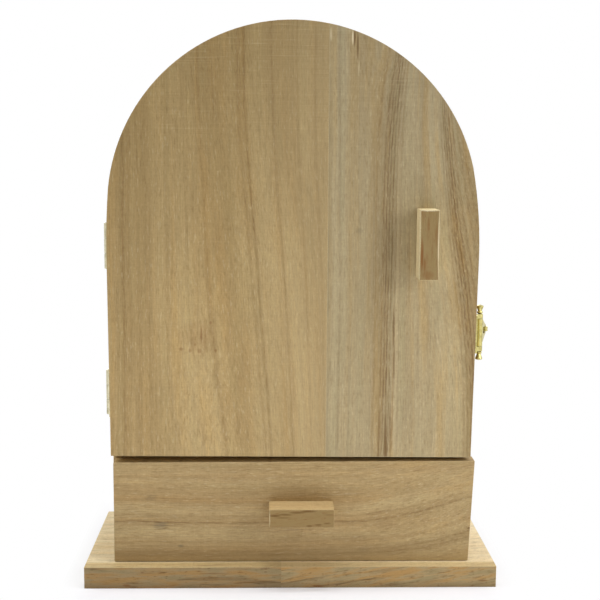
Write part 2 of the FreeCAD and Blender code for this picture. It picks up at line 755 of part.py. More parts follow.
def make_keeper():
    """Plate with a raised boss, and a headed stud riveted into it."""
    keeper = new_body("hasp_keeper_plate", HALF, KEEPER_DEPTH, HASP_HEIGHT)
    wide = "sheet.keeper_width / 2"
    high = "sheet.keeper_height / 2"
    plate = new_sketch(keeper, "YZ_Plane")
    rectangle(plate, f"-{wide}", f"-{high}", wide, high)
    slab = pad(keeper, plate, "sheet.keeper_thickness")
    doc.recompute()
    corners = [
        f"Edge{index}"
        for index, edge in enumerate(slab.Shape.Edges, start=1)
        if edge.BoundBox.XLength > value("sheet.keeper_thickness") / 2
    ]
    rounding = keeper.newObject("PartDesign::Fillet", "keeper_rounding")
    rounding.Base = (slab, corners)
    rounding.setExpression("Radius", "sheet.keeper_corner")
    boss_top = f"{HASP_REACH} - sheet.hasp_flap_thickness / 2 - sheet.flap_rest_gap"
    boss = new_sketch(keeper, "YZ_Plane")
    circles(boss, [("0", "0")], "sheet.keeper_boss")
    pad(keeper, boss, boss_top)
    stud_seat = new_sketch(keeper, "YZ_Plane")
    circles(stud_seat, [("0", "0")], STUD_HOLE)
    pocket(keeper, stud_seat, boss_top, along_normal=True)
    holes = [("0", step) for step in spread("sheet.keeper_screw_spacing")]
    countersink(keeper, "sheet.keeper_thickness", holes, False)
    stud = new_body("hasp_keeper_stud", HALF, KEEPER_DEPTH, HASP_HEIGHT)
    profile = new_sketch(stud, "XZ_Plane")
    neck = "sheet.stud_neck / 2"
    head = "sheet.stud_head / 2"
    end = f"({HASP_REACH} + sheet.stud_proud)"
    points = [
        ("0", "0"),
        (end, "0"),
        (end, f"{head} - sheet.stud_chamfer"),
        (f"{end} - sheet.stud_chamfer", head),
        (f"{end} - sheet.stud_head_height + sheet.stud_chamfer", head),
        (f"{end} - sheet.stud_head_height", neck),
        ("0", neck),
    ]
    outline(profile, points)
    turned = stud.newObject("PartDesign::Revolution", "stud_turned")
    turned.Profile = profile
    turned.ReferenceAxis = (profile, ["H_Axis"])
    turned.Angle = 360


# Drawer
DRAWER_HALF = f"({INSIDE} - sheet.drawer_side_gap)"
DRAWER_INSIDE = f"({DRAWER_HALF} - sheet.drawer_wall)"
GROOVE_TOP = "(sheet.groove_height + sheet.drawer_bottom_thickness + 2 * sheet.groove_clearance)"
BOTTOM_HALF = f"({DRAWER_INSIDE} + sheet.groove_depth - sheet.groove_clearance)"
DRAWER_DEPTH = "(sheet.front_gap + sheet.side_depth - sheet.drawer_back_gap)"
DRAWER_WALL_HEIGHT = "(sheet.drawer_front_height - sheet.drawer_wall_drop)"


def make_drawer_front():
    front = new_body("drawer_front", "sheet.drawer_front_shift", PARTING, DRAWER_FOOT)
    half = f"({HALF} - sheet.drawer_front_trim / 2)"
    lean = "sheet.drawer_front_lean / 2"
    slope = "sheet.drawer_top_slope / 2"
    sketch = new_sketch(front, "XZ_Plane")
    points = [
        (f"-{half}", "0"),
        (f"{half} - {lean}", "0"),
        (f"{half} + {lean}", f"sheet.drawer_front_height + {slope}"),
        (f"-{half}", f"sheet.drawer_front_height - {slope}"),
    ]
    outline(sketch, points)
    pad(front, sketch, "sheet.drawer_front_thickness")
    groove = new_sketch(front, "XZ_Plane")
    reach = f"({DRAWER_INSIDE} + sheet.groove_depth)"
    left = f"-{reach} - sheet.drawer_front_shift"
    right = f"{reach} - sheet.drawer_front_shift"
    rectangle(groove, left, "sheet.groove_height", right, GROOVE_TOP)
    pocket(front, groove, "sheet.groove_depth", along_normal=True)


def make_drawer_side(label, sign, to_right):
    """Side of the drawer box; its own frame has the outer face at x = 0."""
    side = board(
        label,
        "YZ_Plane",
        ("0", "0", DRAWER_DEPTH, DRAWER_WALL_HEIGHT),
        "sheet.drawer_wall",
        f"{sign}{DRAWER_HALF}",
        PARTING,
        DRAWER_FOOT,
        not to_right,
    )
    inner = "sheet.drawer_wall" if to_right else "-sheet.drawer_wall"
    groove = new_sketch(side, "YZ_Plane", inner)
    rectangle(groove, "0", "sheet.groove_height", DRAWER_DEPTH, GROOVE_TOP)
    pocket(side, groove, "sheet.groove_depth", along_normal=not to_right)


def make_drawer_box():
    make_drawer_side("drawer_left_side", "-", True)
    make_drawer_side("drawer_right_side", "", False)
    board(
        "drawer_back",
        "XZ_Plane",
        (f"-{DRAWER_INSIDE}", GROOVE_TOP, DRAWER_INSIDE, DRAWER_WALL_HEIGHT),
        "sheet.drawer_wall",
        "0",
        f"{PARTING} + {DRAWER_DEPTH}",
        DRAWER_FOOT,
    )
    into_front = "sheet.groove_clearance - sheet.groove_depth"
    board(
        "drawer_bottom",
        "XY_Plane",
        (f"-{BOTTOM_HALF}", into_front, BOTTOM_HALF, DRAWER_DEPTH),
        "sheet.drawer_bottom_thickness",
        "0",
        PARTING,
        f"{DRAWER_FOOT} + sheet.groove_height + sheet.groove_clearance",
    )


def write_parts():
    """Check every object and every sub-part, then write one file for each sub-part."""
    doc.recompute()
    for item in doc.Objects:
        if "Invalid" in item.State or "Error" in item.State:
            raise RuntimeError(f"{item.Label} did not build: {item.State}")
    for piece in sub_parts:
        if piece.Shape.isNull() or not piece.Shape.isValid():
            raise RuntimeError(f"{piece.Label} has no valid shape")
    os.makedirs("parts", exist_ok=True)
    for piece in sub_parts:
        piece.Shape.exportStep(os.path.join("parts", f"{piece.Label}.step"))


make_base()
make_sides()
make_arch()
make_back()
make_floor()
make_hooks()
make_door()
make_handles()
make_hinges()
make_hasp_plate()
make_hasp_flap()
make_hasp_pin()
make_keeper()
make_drawer_front()
make_drawer_box()
write_parts()
print(len(sub_parts), "sub-parts")
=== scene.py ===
"""Arched wooden key box: wood and brass finishes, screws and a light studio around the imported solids."""

import json
import math
from functools import partialmethod
from typing import NamedTuple

import bmesh
import bpy
from bpy.props import FloatProperty, FloatVectorProperty, PointerProperty
from mathutils import Matrix, Vector


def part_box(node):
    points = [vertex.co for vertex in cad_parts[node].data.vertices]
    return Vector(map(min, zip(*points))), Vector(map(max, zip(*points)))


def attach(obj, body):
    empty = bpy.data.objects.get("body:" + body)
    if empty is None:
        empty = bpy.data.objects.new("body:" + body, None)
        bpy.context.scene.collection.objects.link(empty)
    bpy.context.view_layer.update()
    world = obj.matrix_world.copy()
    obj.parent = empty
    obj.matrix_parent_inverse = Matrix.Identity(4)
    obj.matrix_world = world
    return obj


bl_info = {
    "name": "Key Box",
    "version": (1, 0, 0),
    "blender": (4, 5, 0),
    "location": "View3D > Sidebar > Key Box",
    "description": "Finishes, screws and studio for an arched wooden key box",
    "category": "Object",
}

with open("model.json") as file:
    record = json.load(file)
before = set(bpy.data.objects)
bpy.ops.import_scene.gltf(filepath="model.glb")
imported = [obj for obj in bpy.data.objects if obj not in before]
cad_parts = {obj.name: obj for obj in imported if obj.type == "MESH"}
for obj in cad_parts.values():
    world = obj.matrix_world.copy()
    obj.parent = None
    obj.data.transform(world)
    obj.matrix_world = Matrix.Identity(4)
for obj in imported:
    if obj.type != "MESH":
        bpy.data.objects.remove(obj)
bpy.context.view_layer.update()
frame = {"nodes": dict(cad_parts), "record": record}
NODES = frame["nodes"]
MM = 0.001
PER_METRE = 1000.0
STREAKS_PER_RAMP = 9
# Way in which a seed moves a noise
SEED_DIRECTION = (1.0, 0.37, 0.61)
# Values between which nearly all of a noise lies
NOISE_RANGE = (0.28, 0.72)
# Sharp edges, pale from wear and painted highlight: reach, and turn of the rounded face from the flat one
WEAR_AND_HIGHLIGHT_RADIUS = 0.6 * MM
WEAR_AND_HIGHLIGHT_SAMPLES = 6
WEAR_AND_HIGHLIGHT_RANGE = (0.99, 0.8)
# How far a face may turn from the front before it counts as a side
FRONT_RANGE = (-0.6, -0.9)


def tone(*levels):
    """Colour as seen on a screen, 0 to 255, in the linear values that shaders take."""
    parts = [level / 255 for level in levels]
    return tuple(part / 12.92 if part <= 0.04045 else ((part + 0.055) / 1.055) ** 2.4 for part in parts)


def colour(name, description, shade):
    return FloatVectorProperty(
        name=name, description=description, default=tone(*shade), subtype="COLOR", size=3, min=0.0, max=1.0
    )


def pale_wood(board, shade):
    return colour(board.capitalize(), f"Pale wood of the {board}", shade)


def late_wood(board, shade):
    return colour(f"{board.capitalize()} bands", f"Late wood of the {board}", shade)


def number(name, description, default, **others):
    return FloatProperty(name=name, description=description, default=default, **others)


def length(name, description, millimetres):
    return number(name, description, millimetres * MM, subtype="DISTANCE", unit="LENGTH", precision=5)


def angle(name, description, degrees):
    return number(name, description, math.radians(degrees), subtype="ANGLE", unit="ROTATION")


def amount(name, description, default):
    return number(name, description, default, min=0.0)


class KeyBoxWood(bpy.types.PropertyGroup):
    """Tones of the bare wood"""

    door_left_pale: pale_wood("left door board", (192, 166, 116))
    door_left_dark: late_wood("left door board", (177, 150, 101))
    door_right_pale: pale_wood("right door board", (192, 174, 134))
    door_right_dark: late_wood("right door board", (175, 156, 117))
    streak: colour("Streaks", "Dark brown lines along the grain", (106, 72, 31))
    soft_streak: colour("Soft streaks", "Warmer lines of the left door board", (130, 97, 50))
    pore: colour("Pores", "Open pores of the wood", (132, 104, 58))
    knot: colour("Knots", "Grey spots of small knots", (122, 110, 84))
    glue: colour("Glue line", "Grey line where the two door boards meet", (144, 129, 95))
    drawer_pale: pale_wood("drawer front", (190, 166, 119))
    drawer_dark: late_wood("drawer front", (174, 147, 101))
    base_pale: pale_wood("base board", (238, 222, 186))
    base_dark: late_wood("base board", (224, 204, 163))
    base_front: colour("Base front", "Browner sawn front of the base board", (172, 146, 98))
    carcase_pale: pale_wood("sides, back and floor", (192, 168, 122))
    carcase_dark: late_wood("sides, back and floor", (174, 148, 102))
    handle_pale: pale_wood("door's handle", (226, 215, 174))
    handle_dark: late_wood("door's handle", (212, 194, 150))
    handle_front: colour("Door handle front", "Brown front of the door's handle", (142, 117, 70))
    drawer_handle_pale: pale_wood("drawer's handle", (186, 160, 114))
    drawer_handle_dark: late_wood("drawer's handle", (179, 151, 104))
    drawer_handle_front: colour("Drawer handle front", "Brown front of the drawer's handle", (146, 121, 75))
    handle_patch: colour("Handle patches", "Brown patches on the handles' fronts", (132, 86, 42))
    ply_core: colour("Plywood core", "Cross layer of the thin plywood", (166, 132, 88))
    # Pale of worn edges, nicks and sanding scratches; also painted edge highlights and painted glints
    pale_wear_and_highlight: colour("Worn edges", "Sharp edges rubbed pale by sanding", (236, 222, 184))


class KeyBoxMetal(bpy.types.PropertyGroup):
    """Tones and small sizes of the brass"""

    brass_bright: colour("Brass", "Bright brass of the hasp and hooks", (208, 196, 128))
    brass_dull: colour("Tarnish", "Tarnished brass of the hasp and hooks", (136, 122, 66))
    hinge_bright: colour("Hinge brass", "Paler brass of the hinges", (206, 198, 168))
    hinge_dull: colour("Hinge tarnish", "Tarnished brass of the hinges", (148, 138, 104))
    screw_head: length("Screw head", "Width of a countersunk head", 3.2)
    screw_shank: length("Screw shank", "Width of a screw's shank", 1.6)
    screw_length: length("Screw length", "Length of a small screw", 7.0)
    screw_slot: length("Screw slot", "Width of the slot in a small screw", 0.5)
    screw_slot_depth: length("Slot depth", "Depth of the slot in a small screw", 0.4)
    handle_screw_head: length("Handle screw head", "Width of a round head behind a handle", 5.2)
    handle_screw_shank: length("Handle screw shank", "Width of a handle screw's shank", 2.6)
    handle_screw_length: length("Handle screw length", "Length of a handle screw below its head", 18.0)
    handle_screw_spacing: length("Handle screw spacing", "Distance between the screws of a handle", 18.0)
    nail_head: length("Nail head", "Width of a nail's head on the back", 2.6)
    nail_length: length("Nail length", "Length of a nail", 16.0)


class KeyBoxSurface(bpy.types.PropertyGroup):
    """Small sizes of the wood's surface"""

    edge_ease: length("Eased edge", "Width of the softened edge of a board", 0.35)
    door_ease: length("Eased door edge", "Width of the softened edge of a door board", 0.2)
    relief: length("Grain relief", "Depth of the grain", 0.25)


class KeyBoxStudio(bpy.types.PropertyGroup):
    """Camera, lamps and floor"""

    lens: number("Lens", "Focal length", 69.0, unit="CAMERA")
    sensor: number("Sensor", "Width of the sensor", 36.0, unit="CAMERA")
    camera_across: length("Camera across", "Camera's place left or right of the box", -13.7)
    camera_depth: length("Camera depth", "Camera's place in front of the box", -663.4)
    camera_height: length("Camera height", "Camera's height over the floor", 241.5)
    camera_pitch: angle("Pitch", "How far the camera looks down", 7.431)
    camera_yaw: angle("Yaw", "How far the camera looks to the right", 1.642)
    camera_roll: angle("Roll", "How far the camera leans", -0.387)
    floor_pale: colour("Floor", "Pale paper under the box", (235, 235, 240))
    ambient_front: amount("Light from the front", "Even light from the camera's side", 0.03)
    ambient_back: amount("Light from behind", "Even light from behind the box", 0.35)
    overhead: amount("Overhead lamp", "Power of the lamp over the box", 2.9)
    card: amount("White card", "Power of the light from the white card lying in front", 0.44)
    left_side: amount("Left lamp", "Power of the lamp on the left", 6.0)
    right_side: amount("Right lamp", "Power of the lamp on the right", 5.4)
    right_front: amount("Right front lamp", "Power of the lamp in front on the right", 1.15)
    back_side: amount("Back lamp", "Power of the lamp behind the box", 3.0)


class KeyBoxSettings(bpy.types.PropertyGroup):
    """All settings of the key box"""

    wood: PointerProperty(type=KeyBoxWood)
    metal: PointerProperty(type=KeyBoxMetal)
    surface: PointerProperty(type=KeyBoxSurface)
    studio: PointerProperty(type=KeyBoxStudio)


class Coat:
    """Short way to lay out the nodes of a material, or of the surroundings, around its shader."""

    def __init__(self, block, shader="Principled BSDF"):
        block.use_nodes = True
        self.block = block
        self.nodes = block.node_tree.nodes
        self.links = block.node_tree.links
        self.shader = self.nodes[shader]
        self.axes = {}
        self.noises = {}

    def feed(self, socket, item):
        """Link an output into a socket, or set a plain value on it."""
        if isinstance(item, bpy.types.NodeSocket):
            self.links.new(item, socket)
        elif socket.type == "RGBA":
            socket.default_value = (*item[:3], 1.0)
        else:
            socket.default_value = item

    def node(self, kind, inputs, output=0, **settings):
        """Add a node, feed its inputs and give one of its outputs."""
        node = self.nodes.new(kind)
        for key, setting in settings.items():
            setattr(node, key, setting)
        for key, item in inputs.items():
            self.feed(node.inputs[key], item)
        return node.outputs[output]

    def paint(self, inputs):
        """Link or set inputs of the shader."""
        for key, item in inputs.items():
            self.feed(self.shader.inputs[key], item)

    def math(self, operation, first, second=0.0):
        return self.node("ShaderNodeMath", {0: first, 1: second}, operation=operation)

    plus = partialmethod(math, "ADD")
    minus = partialmethod(math, "SUBTRACT")
    times = partialmethod(math, "MULTIPLY")
    over = partialmethod(math, "DIVIDE")

    def product(self, first, *others):
        for other in others:
            first = self.times(first, other)
        return first

    def squares(self, first, second):
        """Sum of two squares."""
        return self.plus(self.times(first, first), self.times(second, second))

    def spread(self, item, low, high, new_low=0.0, new_high=1.0):
        """Stretch a range onto another one and cut off what lies outside."""
        parts = (item, low, high, new_low, new_high)
        return self.node("ShaderNodeMapRange", dict(enumerate(parts)))

    def mix(self, share, first, second, blend="MIX"):
        inputs = {0: share, 6: first, 7: second}
        return self.node("ShaderNodeMix", inputs, 2, data_type="RGBA", blend_type=blend)

    def cover(self, tint, shade, *shares):
        """Lay a shade over a colour, as much as the product of the shares."""
        return self.mix(self.product(*shares), tint, shade)

    def stain(self, tint, shade, *shares):
        """Multiply a colour by a shade, as much as the product of the shares."""
        return self.mix(self.product(*shares), tint, shade, "MULTIPLY")

    def vary(self, tint, patches, low, high):
        """Lighten and darken a colour by a noise."""
        level = self.spread(patches, *NOISE_RANGE, low, high)
        return self.stain(tint, self.join(level, level, level), 1.0)

    def place(self):
        """Point on the piece in millimetres, in the piece's own frame."""
        point = self.node("ShaderNodeTexCoord", {}, "Object")
        return self.node("ShaderNodeVectorMath", {0: point, "Scale": PER_METRE}, operation="SCALE")

    def split(self, vector):
        return self.node("ShaderNodeSeparateXYZ", {0: vector}).node.outputs

    def join(self, *parts):
        return self.node("ShaderNodeCombineXYZ", dict(enumerate(parts)))

    def noise(self, vector, lengths, seed, detail=2.0, roughness=0.5):
        """Noise whose patches have the given lengths along X, Y and Z."""
        shift = tuple(seed * part for part in SEED_DIRECTION)
        scale = tuple(1 / size for size in lengths)
        point = self.node("ShaderNodeMapping", {"Vector": vector, "Location": shift, "Scale": scale})
        inputs = {"Vector": point, "Scale": 1.0, "Detail": detail, "Roughness": roughness}
        return self.node("ShaderNodeTexNoise", inputs)

    def lines(self, coordinate, low, high, streaks):
        """Soft lines across a board; each streak has a place, half a width and a strength."""
        share = self.spread(coordinate, low, high)
        total = 0.0
        for start in range(0, len(streaks), STREAKS_PER_RAMP):
            node = self.nodes.new("ShaderNodeValToRGB")
            self.feed(node.inputs[0], share)
            ramp = node.color_ramp
            for middle, half, strength in streaks[start : start + STREAKS_PER_RAMP]:
                for step, level in ((-half, 0.0), (0.0, strength), (half, 0.0)):
                    stop = ramp.elements.new((middle + step - low) / (high - low))
                    stop.color = (level, level, level, 1.0)
            for end in (ramp.elements[0], ramp.elements[-1]):
                end.color = (0.0, 0.0, 0.0, 1.0)
            total = self.math("MAXIMUM", node.outputs[0], total)
        return total

    def relief(self, height, depth, strength):
        inputs = {"Height": height, "Distance": depth, "Strength": strength}
        self.paint({"Normal": self.node("ShaderNodeBump", inputs)})

    def edge_wear_and_highlight(self):
        """How much a point lies on a sharp edge, from 0 to 1."""
        rounded = self.node("ShaderNodeBevel", {"Radius": WEAR_AND_HIGHLIGHT_RADIUS}, samples=WEAR_AND_HIGHLIGHT_SAMPLES)
        flat = self.node("ShaderNodeNewGeometry", {}, "Normal")
        turned = self.node("ShaderNodeVectorMath", {0: rounded, 1: flat}, "Value", operation="DOT_PRODUCT")
        return self.spread(turned, *WEAR_AND_HIGHLIGHT_RANGE)

    def facing_front(self):
        """How much a face looks to the front, from 0 to 1."""
        normal = self.node("ShaderNodeNewGeometry", {}, "Normal")
        return self.spread(self.split(normal)[1], *FRONT_RANGE)

    def looked_at(self):
        """1 where the camera or a reflection looks, 0 for scattered light."""
        rays = self.node("ShaderNodeLightPath", {}).node.outputs
        seen = self.math("MAXIMUM", rays["Is Camera Ray"], rays["Is Glossy Ray"])
        return self.math("MAXIMUM", seen, rays["Is Transmission Ray"])


def along(axis, run, width):
    """Patch lengths that are long on the grain's axis and narrow on the other two."""
    return tuple(run if letter == axis else width for letter in "XYZ")


class Drift(NamedTuple):
    """Grain lines that bend aside as they run along a board.

    A line at the middle goes aside by reach between start and start + run along the grain,
    with the given power; lines further away than the width hardly move.
    """

    reach: float
    start: float
    run: float
    power: float
    middle: float
    width: float

    def shift(self, coat, across, along_grain):
        off = coat.over(coat.minus(across, self.middle), self.width)
        near = coat.math("EXPONENT", coat.times(coat.times(off, off), -1.0))
        share = coat.spread(along_grain, self.start, self.start + self.run)
        bend = coat.times(coat.math("POWER", share, self.power), self.reach)
        return coat.times(bend, near)


# Axis across a board whose grain runs along the key
ACROSS = {"X": "Z", "Y": "X", "Z": "X"}
# Layers of the grain: length along it and width across it (mm), step of the seed, detail, roughness
GRAIN_LAYERS = {
    "wander": (160.0, 60.0, 0.0, 1.0, 0.5),
    "ripple": (24.0, 9.0, 0.7, 2.0, 0.5),
    "bands": (420.0, 16.0, 3.1, 2.0, 0.45),
    "warmth": (240.0, 6.0, 8.4, 3.0, 0.62),
    "rings": (300.0, 2.4, 7.7, 2.0, 0.6),
    "hairs": (170.0, 0.75, 4.2, 1.0, 0.5),
    "fibre": (13.0, 0.6, 1.9, 2.0, 0.6),
    "flecks": (4.4, 0.7, 5.3, 1.0, 0.5),
    "specks": (8.0, 0.8, 6.9, 2.0, 0.5),
    "patches": (45.0, 6.0, 6.1, 2.0, 0.5),
    "mottle": (60.0, 22.0, 9.2, 3.0, 0.55),
    "nap": (1.1, 1.1, 3.7, 1.0, 0.5),
    "saw": (0.7, 30.0, 2.4, 2.0, 0.7),
}
# How far the layers push the grain lines aside, in millimetres
WANDER_REACH = 7.0
RIPPLE_REACH = 0.6
# Darkest and lightest that each layer makes the wood
SHADES = {
    "fibre": (0.92, 1.08),
    "hairs": (0.945, 1.055),
    "mottle": (0.95, 1.05),
    "saw": (0.97, 1.03),
    "nap": (0.95, 1.05),
}
WARM_BAND = (1.02, 0.94, 0.8)
GREY_BAND = (0.935, 0.965, 0.95)
RING_SHARE = 0.18
PORE_SHARE = 0.24
# Painted glints: share of pale highlight flecks painted into the wood's colour
PAINTED_GLINT_SHARE = 0.16
WOOD_GLOSS = (0.62, 0.76)
WOOD_SHINE = 0.25
WOOD_RELIEF = 0.45


def wood(
    name, settings, grain, kind, seed,
    drifts=(), streaks=None, marks=None, wear_and_highlight_most=0.5, banding=0.5, line_shade=None,
):
    """Bare sanded wood as a solid texture, so that end grain shows on the ends.

    Kind is the first part of the names of its tones. Streaks hold the range across the board and the lines
    in it, thin ones and then broad ones; line_shade is the colour of the thin ones. Marks adds more to the
    colour, wear_and_highlight_most says how pale the sharp edges get from wear and painted edge highlight,
    and banding how far warm and grey bands differ.
    """
    coat = Coat(bpy.data.materials.new(name))
    tones = settings.wood
    point = coat.place()
    axes = dict(zip("XYZ", coat.split(point)))
    coat.axes = axes

    def layer(key, vector):
        run, width, step, detail, roughness = GRAIN_LAYERS[key]
        return coat.noise(vector, along(grain, run, width), seed + step, detail, roughness)

    def aside(key, reach):
        return coat.times(coat.minus(layer(key, point), 0.5), reach)

    bend = coat.plus(aside("wander", WANDER_REACH), aside("ripple", RIPPLE_REACH))
    for drift in drifts:
        bend = coat.minus(bend, drift.shift(coat, axes[ACROSS[grain]], axes[grain]))
    bent = {letter: part if letter == grain else coat.plus(part, bend) for letter, part in axes.items()}
    warped = coat.join(*bent.values())
    noises = {key: layer(key, warped) for key in ("bands", "warmth", "rings", "hairs", "fibre", "flecks")}
    noises.update((key, layer(key, point)) for key in ("mottle", "nap", "saw"))
    coat.noises = noises
    pores = coat.spread(noises["flecks"], 0.58, 0.7)
    painted_glints = coat.spread(noises["flecks"], 0.38, 0.28)

    pale, dark = (getattr(tones, f"{kind}_{shade}") for shade in ("pale", "dark"))
    tint = coat.mix(coat.spread(noises["bands"], 0.34, 0.66), pale, dark)
    for edge, shade in ((0.66, WARM_BAND), (0.34, GREY_BAND)):
        tint = coat.stain(tint, shade, coat.spread(noises["warmth"], 0.5, edge, 0.0, banding))
    tint = coat.cover(tint, tones.streak, coat.spread(noises["rings"], 0.52, 0.78), RING_SHARE)
    if streaks:
        low, high, thin, broad = streaks
        strands = coat.spread(noises["hairs"], 0.4, 0.6, 0.55, 1.0)
        specks = coat.spread(layer("specks", warped), 0.4, 0.58, 0.5, 1.0)
        patches = coat.spread(layer("patches", point), 0.32, 0.58, 0.6, 1.0)
        zone = coat.lines(bent[ACROSS[grain]], low, high, broad)
        tint = coat.cover(tint, tones.pore, zone, specks)
        zone = coat.lines(bent[ACROSS[grain]], low, high, thin)
        tint = coat.cover(tint, line_shade or tones.streak, zone, strands, patches, specks)
    tint = coat.cover(tint, tones.pore, pores, PORE_SHARE)
    # Painted glints: pale highlight flecks in the colour
    tint = coat.cover(tint, tones.pale_wear_and_highlight, painted_glints, PAINTED_GLINT_SHARE)
    for key, levels in SHADES.items():
        tint = coat.vary(tint, noises[key], *levels)
    if marks:
        tint = marks(coat, tones, tint)
    # Sharp edges turn pale: partly wear, partly painted edge highlight
    worn_and_highlit = coat.spread(noises["mottle"], 0.35, 0.65, 0.1, wear_and_highlight_most)
    tint = coat.cover(tint, tones.pale_wear_and_highlight, coat.edge_wear_and_highlight(), worn_and_highlit)
    gloss = coat.spread(noises["mottle"], 0.3, 0.7, *WOOD_GLOSS)
    gloss = coat.plus(gloss, coat.times(pores, 0.1))
    coat.paint({"Base Color": tint, "Roughness": gloss, "Specular IOR Level": WOOD_SHINE})
    height = coat.minus(coat.times(noises["fibre"], 0.5), coat.times(pores, 0.5))
    height = coat.plus(height, coat.times(noises["saw"], 0.3))
    coat.relief(height, settings.surface.relief, WOOD_RELIEF)
    return coat.block


# Marks: how ragged their rims are, and the square of their reach in half widths
SPOT_RAG = 2.4
SPOT_REACH = 1.5


def spots(coat, tint, shade, places):
    """Small ragged marks on a front."""
    front = coat.facing_front()
    ragged = coat.times(coat.minus(coat.noises["fibre"], 0.5), SPOT_RAG)
    for across, up, half_width, half_height, strength in places:
        aside = coat.over(coat.minus(coat.axes["X"], across), half_width)
        above = coat.over(coat.minus(coat.axes["Z"], up), half_height)
        distance = coat.plus(coat.squares(aside, above), ragged)
        spot = coat.spread(distance, SPOT_REACH, 0.0, 0.0, strength)
        tint = coat.cover(tint, shade, spot, front)
    return tint


def slant(coat, run_place, side_place, lean):
    """Place on a face whose grain leans across it."""
    return coat.join(run_place, coat.minus(side_place, coat.times(run_place, lean)), 0.0)


def dashes(coat, tint, shade, flat, rows, mask=1.0):
    """Thin broken lines along the grain."""
    for seed, run, width, strength in rows:
        thin = coat.noise(flat, (run, width, 1.0), seed, roughness=0.6)
        broken = coat.noise(flat, (run * 0.5, width * 6, 1.0), seed + 2.2)
        lines = coat.times(coat.spread(thin, 0.54, 0.7), coat.spread(broken, 0.42, 0.58))
        tint = coat.cover(tint, shade, lines, strength, mask)
    return tint


PLY_CORE_SHARE = 0.6
PLY_GLOSS = (0.55, 0.7)
PLY_SHINE = 0.3
PLY_RELIEF = 0.4


def plywood(name, settings, seed, layer_place):
    """Thin plywood whose layers show on its edges; layer_place gives the depth in layers."""
    coat = Coat(bpy.data.materials.new(name))
    tones = settings.wood
    point = coat.place()
    depth = coat.math("FRACT", layer_place(coat, coat.split(point)))
    core = coat.math("LESS_THAN", coat.math("ABSOLUTE", coat.minus(depth, 0.5)), 0.25)
    grain = coat.noise(point, along("Y", 120.0, 3.2), seed, detail=4.0, roughness=0.6)
    fibre = coat.noise(point, along("Y", 14.0, 0.5), seed + 4.0)
    mottle = coat.noise(point, along("Y", 30.0, 26.0), seed + 8.0, detail=3.0)
    tint = coat.mix(coat.spread(grain, 0.35, 0.7), tones.carcase_pale, tones.carcase_dark)
    tint = coat.cover(tint, tones.ply_core, core, PLY_CORE_SHARE)
    tint = coat.vary(tint, fibre, 0.92, 1.06)
    tint = coat.vary(tint, mottle, 0.92, 1.07)
    gloss = coat.spread(mottle, 0.3, 0.7, *PLY_GLOSS)
    coat.paint({"Base Color": tint, "Roughness": gloss, "Specular IOR Level": PLY_SHINE})
    height = coat.plus(fibre, coat.times(grain, 0.4))
    coat.relief(height, settings.surface.relief, PLY_RELIEF)
    return coat.block


TARNISH_SHARE = 0.75
# Painted shade in the recesses of the brass: reach, samples and share
RECESS_SHADE_REACH = 2.5 * MM
RECESS_SHADE_SAMPLES = 8
RECESS_SHADE_SHARE = 0.85
# Painted shade in the recesses is this much of the tarnish's tone
RECESS_SHADE_TONE = 0.25
BRASS_GLOSS = (0.2, 0.38)
SCRATCH_DEPTH = 0.04 * MM
SCRATCH_RELIEF = 0.5


def brass(name, bright, dull):
    """Polished brass with light tarnish, fine scratches and painted shade in its recesses."""
    coat = Coat(bpy.data.materials.new(name))
    point = coat.place()
    cloud = coat.noise(point, (2.2, 2.2, 3.0), 4.0, detail=4.0, roughness=0.6)
    scratch = coat.noise(point, (0.12, 0.12, 3.0), 9.0)
    tint = coat.mix(coat.spread(cloud, 0.45, 0.75, 0.0, TARNISH_SHARE), bright, dull)
    # Painted shade: ambient occlusion darkens the colour in recesses and between parts
    reach = {"Distance": RECESS_SHADE_REACH}
    recess = coat.node("ShaderNodeAmbientOcclusion", reach, "AO", samples=RECESS_SHADE_SAMPLES)
    recess_shade = coat.spread(recess, 0.75, 0.2, 0.0, RECESS_SHADE_SHARE)
    tint = coat.cover(tint, tuple(RECESS_SHADE_TONE * part for part in dull), recess_shade)
    gloss = coat.spread(cloud, 0.3, 0.75, *BRASS_GLOSS)
    gloss = coat.plus(gloss, coat.times(scratch, 0.08))
    coat.paint({"Base Color": tint, "Metallic": 1.0, "Roughness": gloss})
    coat.relief(coat.plus(scratch, cloud), SCRATCH_DEPTH, SCRATCH_RELIEF)
    return coat.block


WELD_DISTANCE = 1e-6
EASED_ANGLE = math.radians(40)


def dress(names, material, ease=None):
    """Give CAD nodes a material and, where asked, softened edges."""
    for name in names:
        piece = NODES[name]
        piece.data.materials.clear()
        piece.data.materials.append(material)
        if ease:
            weld = piece.modifiers.new("joined_corners", "WELD")
            weld.merge_threshold = WELD_DISTANCE
            bevel = piece.modifiers.new("eased_edges", "BEVEL")
            bevel.width = ease
            bevel.segments = 2
            bevel.limit_method = "ANGLE"
            bevel.angle_limit = EASED_ANGLE


# Lines along the grain, in millimetres: place across the board, half a width, strength
LEFT_THIN = (
    (-92, 1.6, 0.5), (-88.6, 1.2, 0.3), (-70, 1.4, 0.25), (-51.7, 1.3, 0.5), (-31, 1.2, 0.45),
    (-27.4, 1.1, 0.85), (-11.7, 1.2, 0.6), (2, 1.2, 0.5), (12, 1.3, 0.6),
)
LEFT_BROAD = ((-92, 6, 0.3), (-28, 5, 0.22), (9, 7, 0.2))
RIGHT_THIN = (
    (24.5, 1.2, 0.45), (44.4, 1, 0.4), (48.4, 0.9, 0.6), (50.2, 0.8, 0.9), (51.8, 0.8, 1),
    (53.6, 0.9, 0.9), (55.8, 1, 0.6), (58.6, 1.2, 0.4), (70, 2, 0.2), (95.2, 0.9, 0.5),
    (97.4, 0.9, 0.8), (99.3, 0.9, 0.95), (101.2, 1, 1), (103.2, 0.9, 0.85), (106, 1.2, 0.65),
    (109.6, 1.5, 0.5),
)
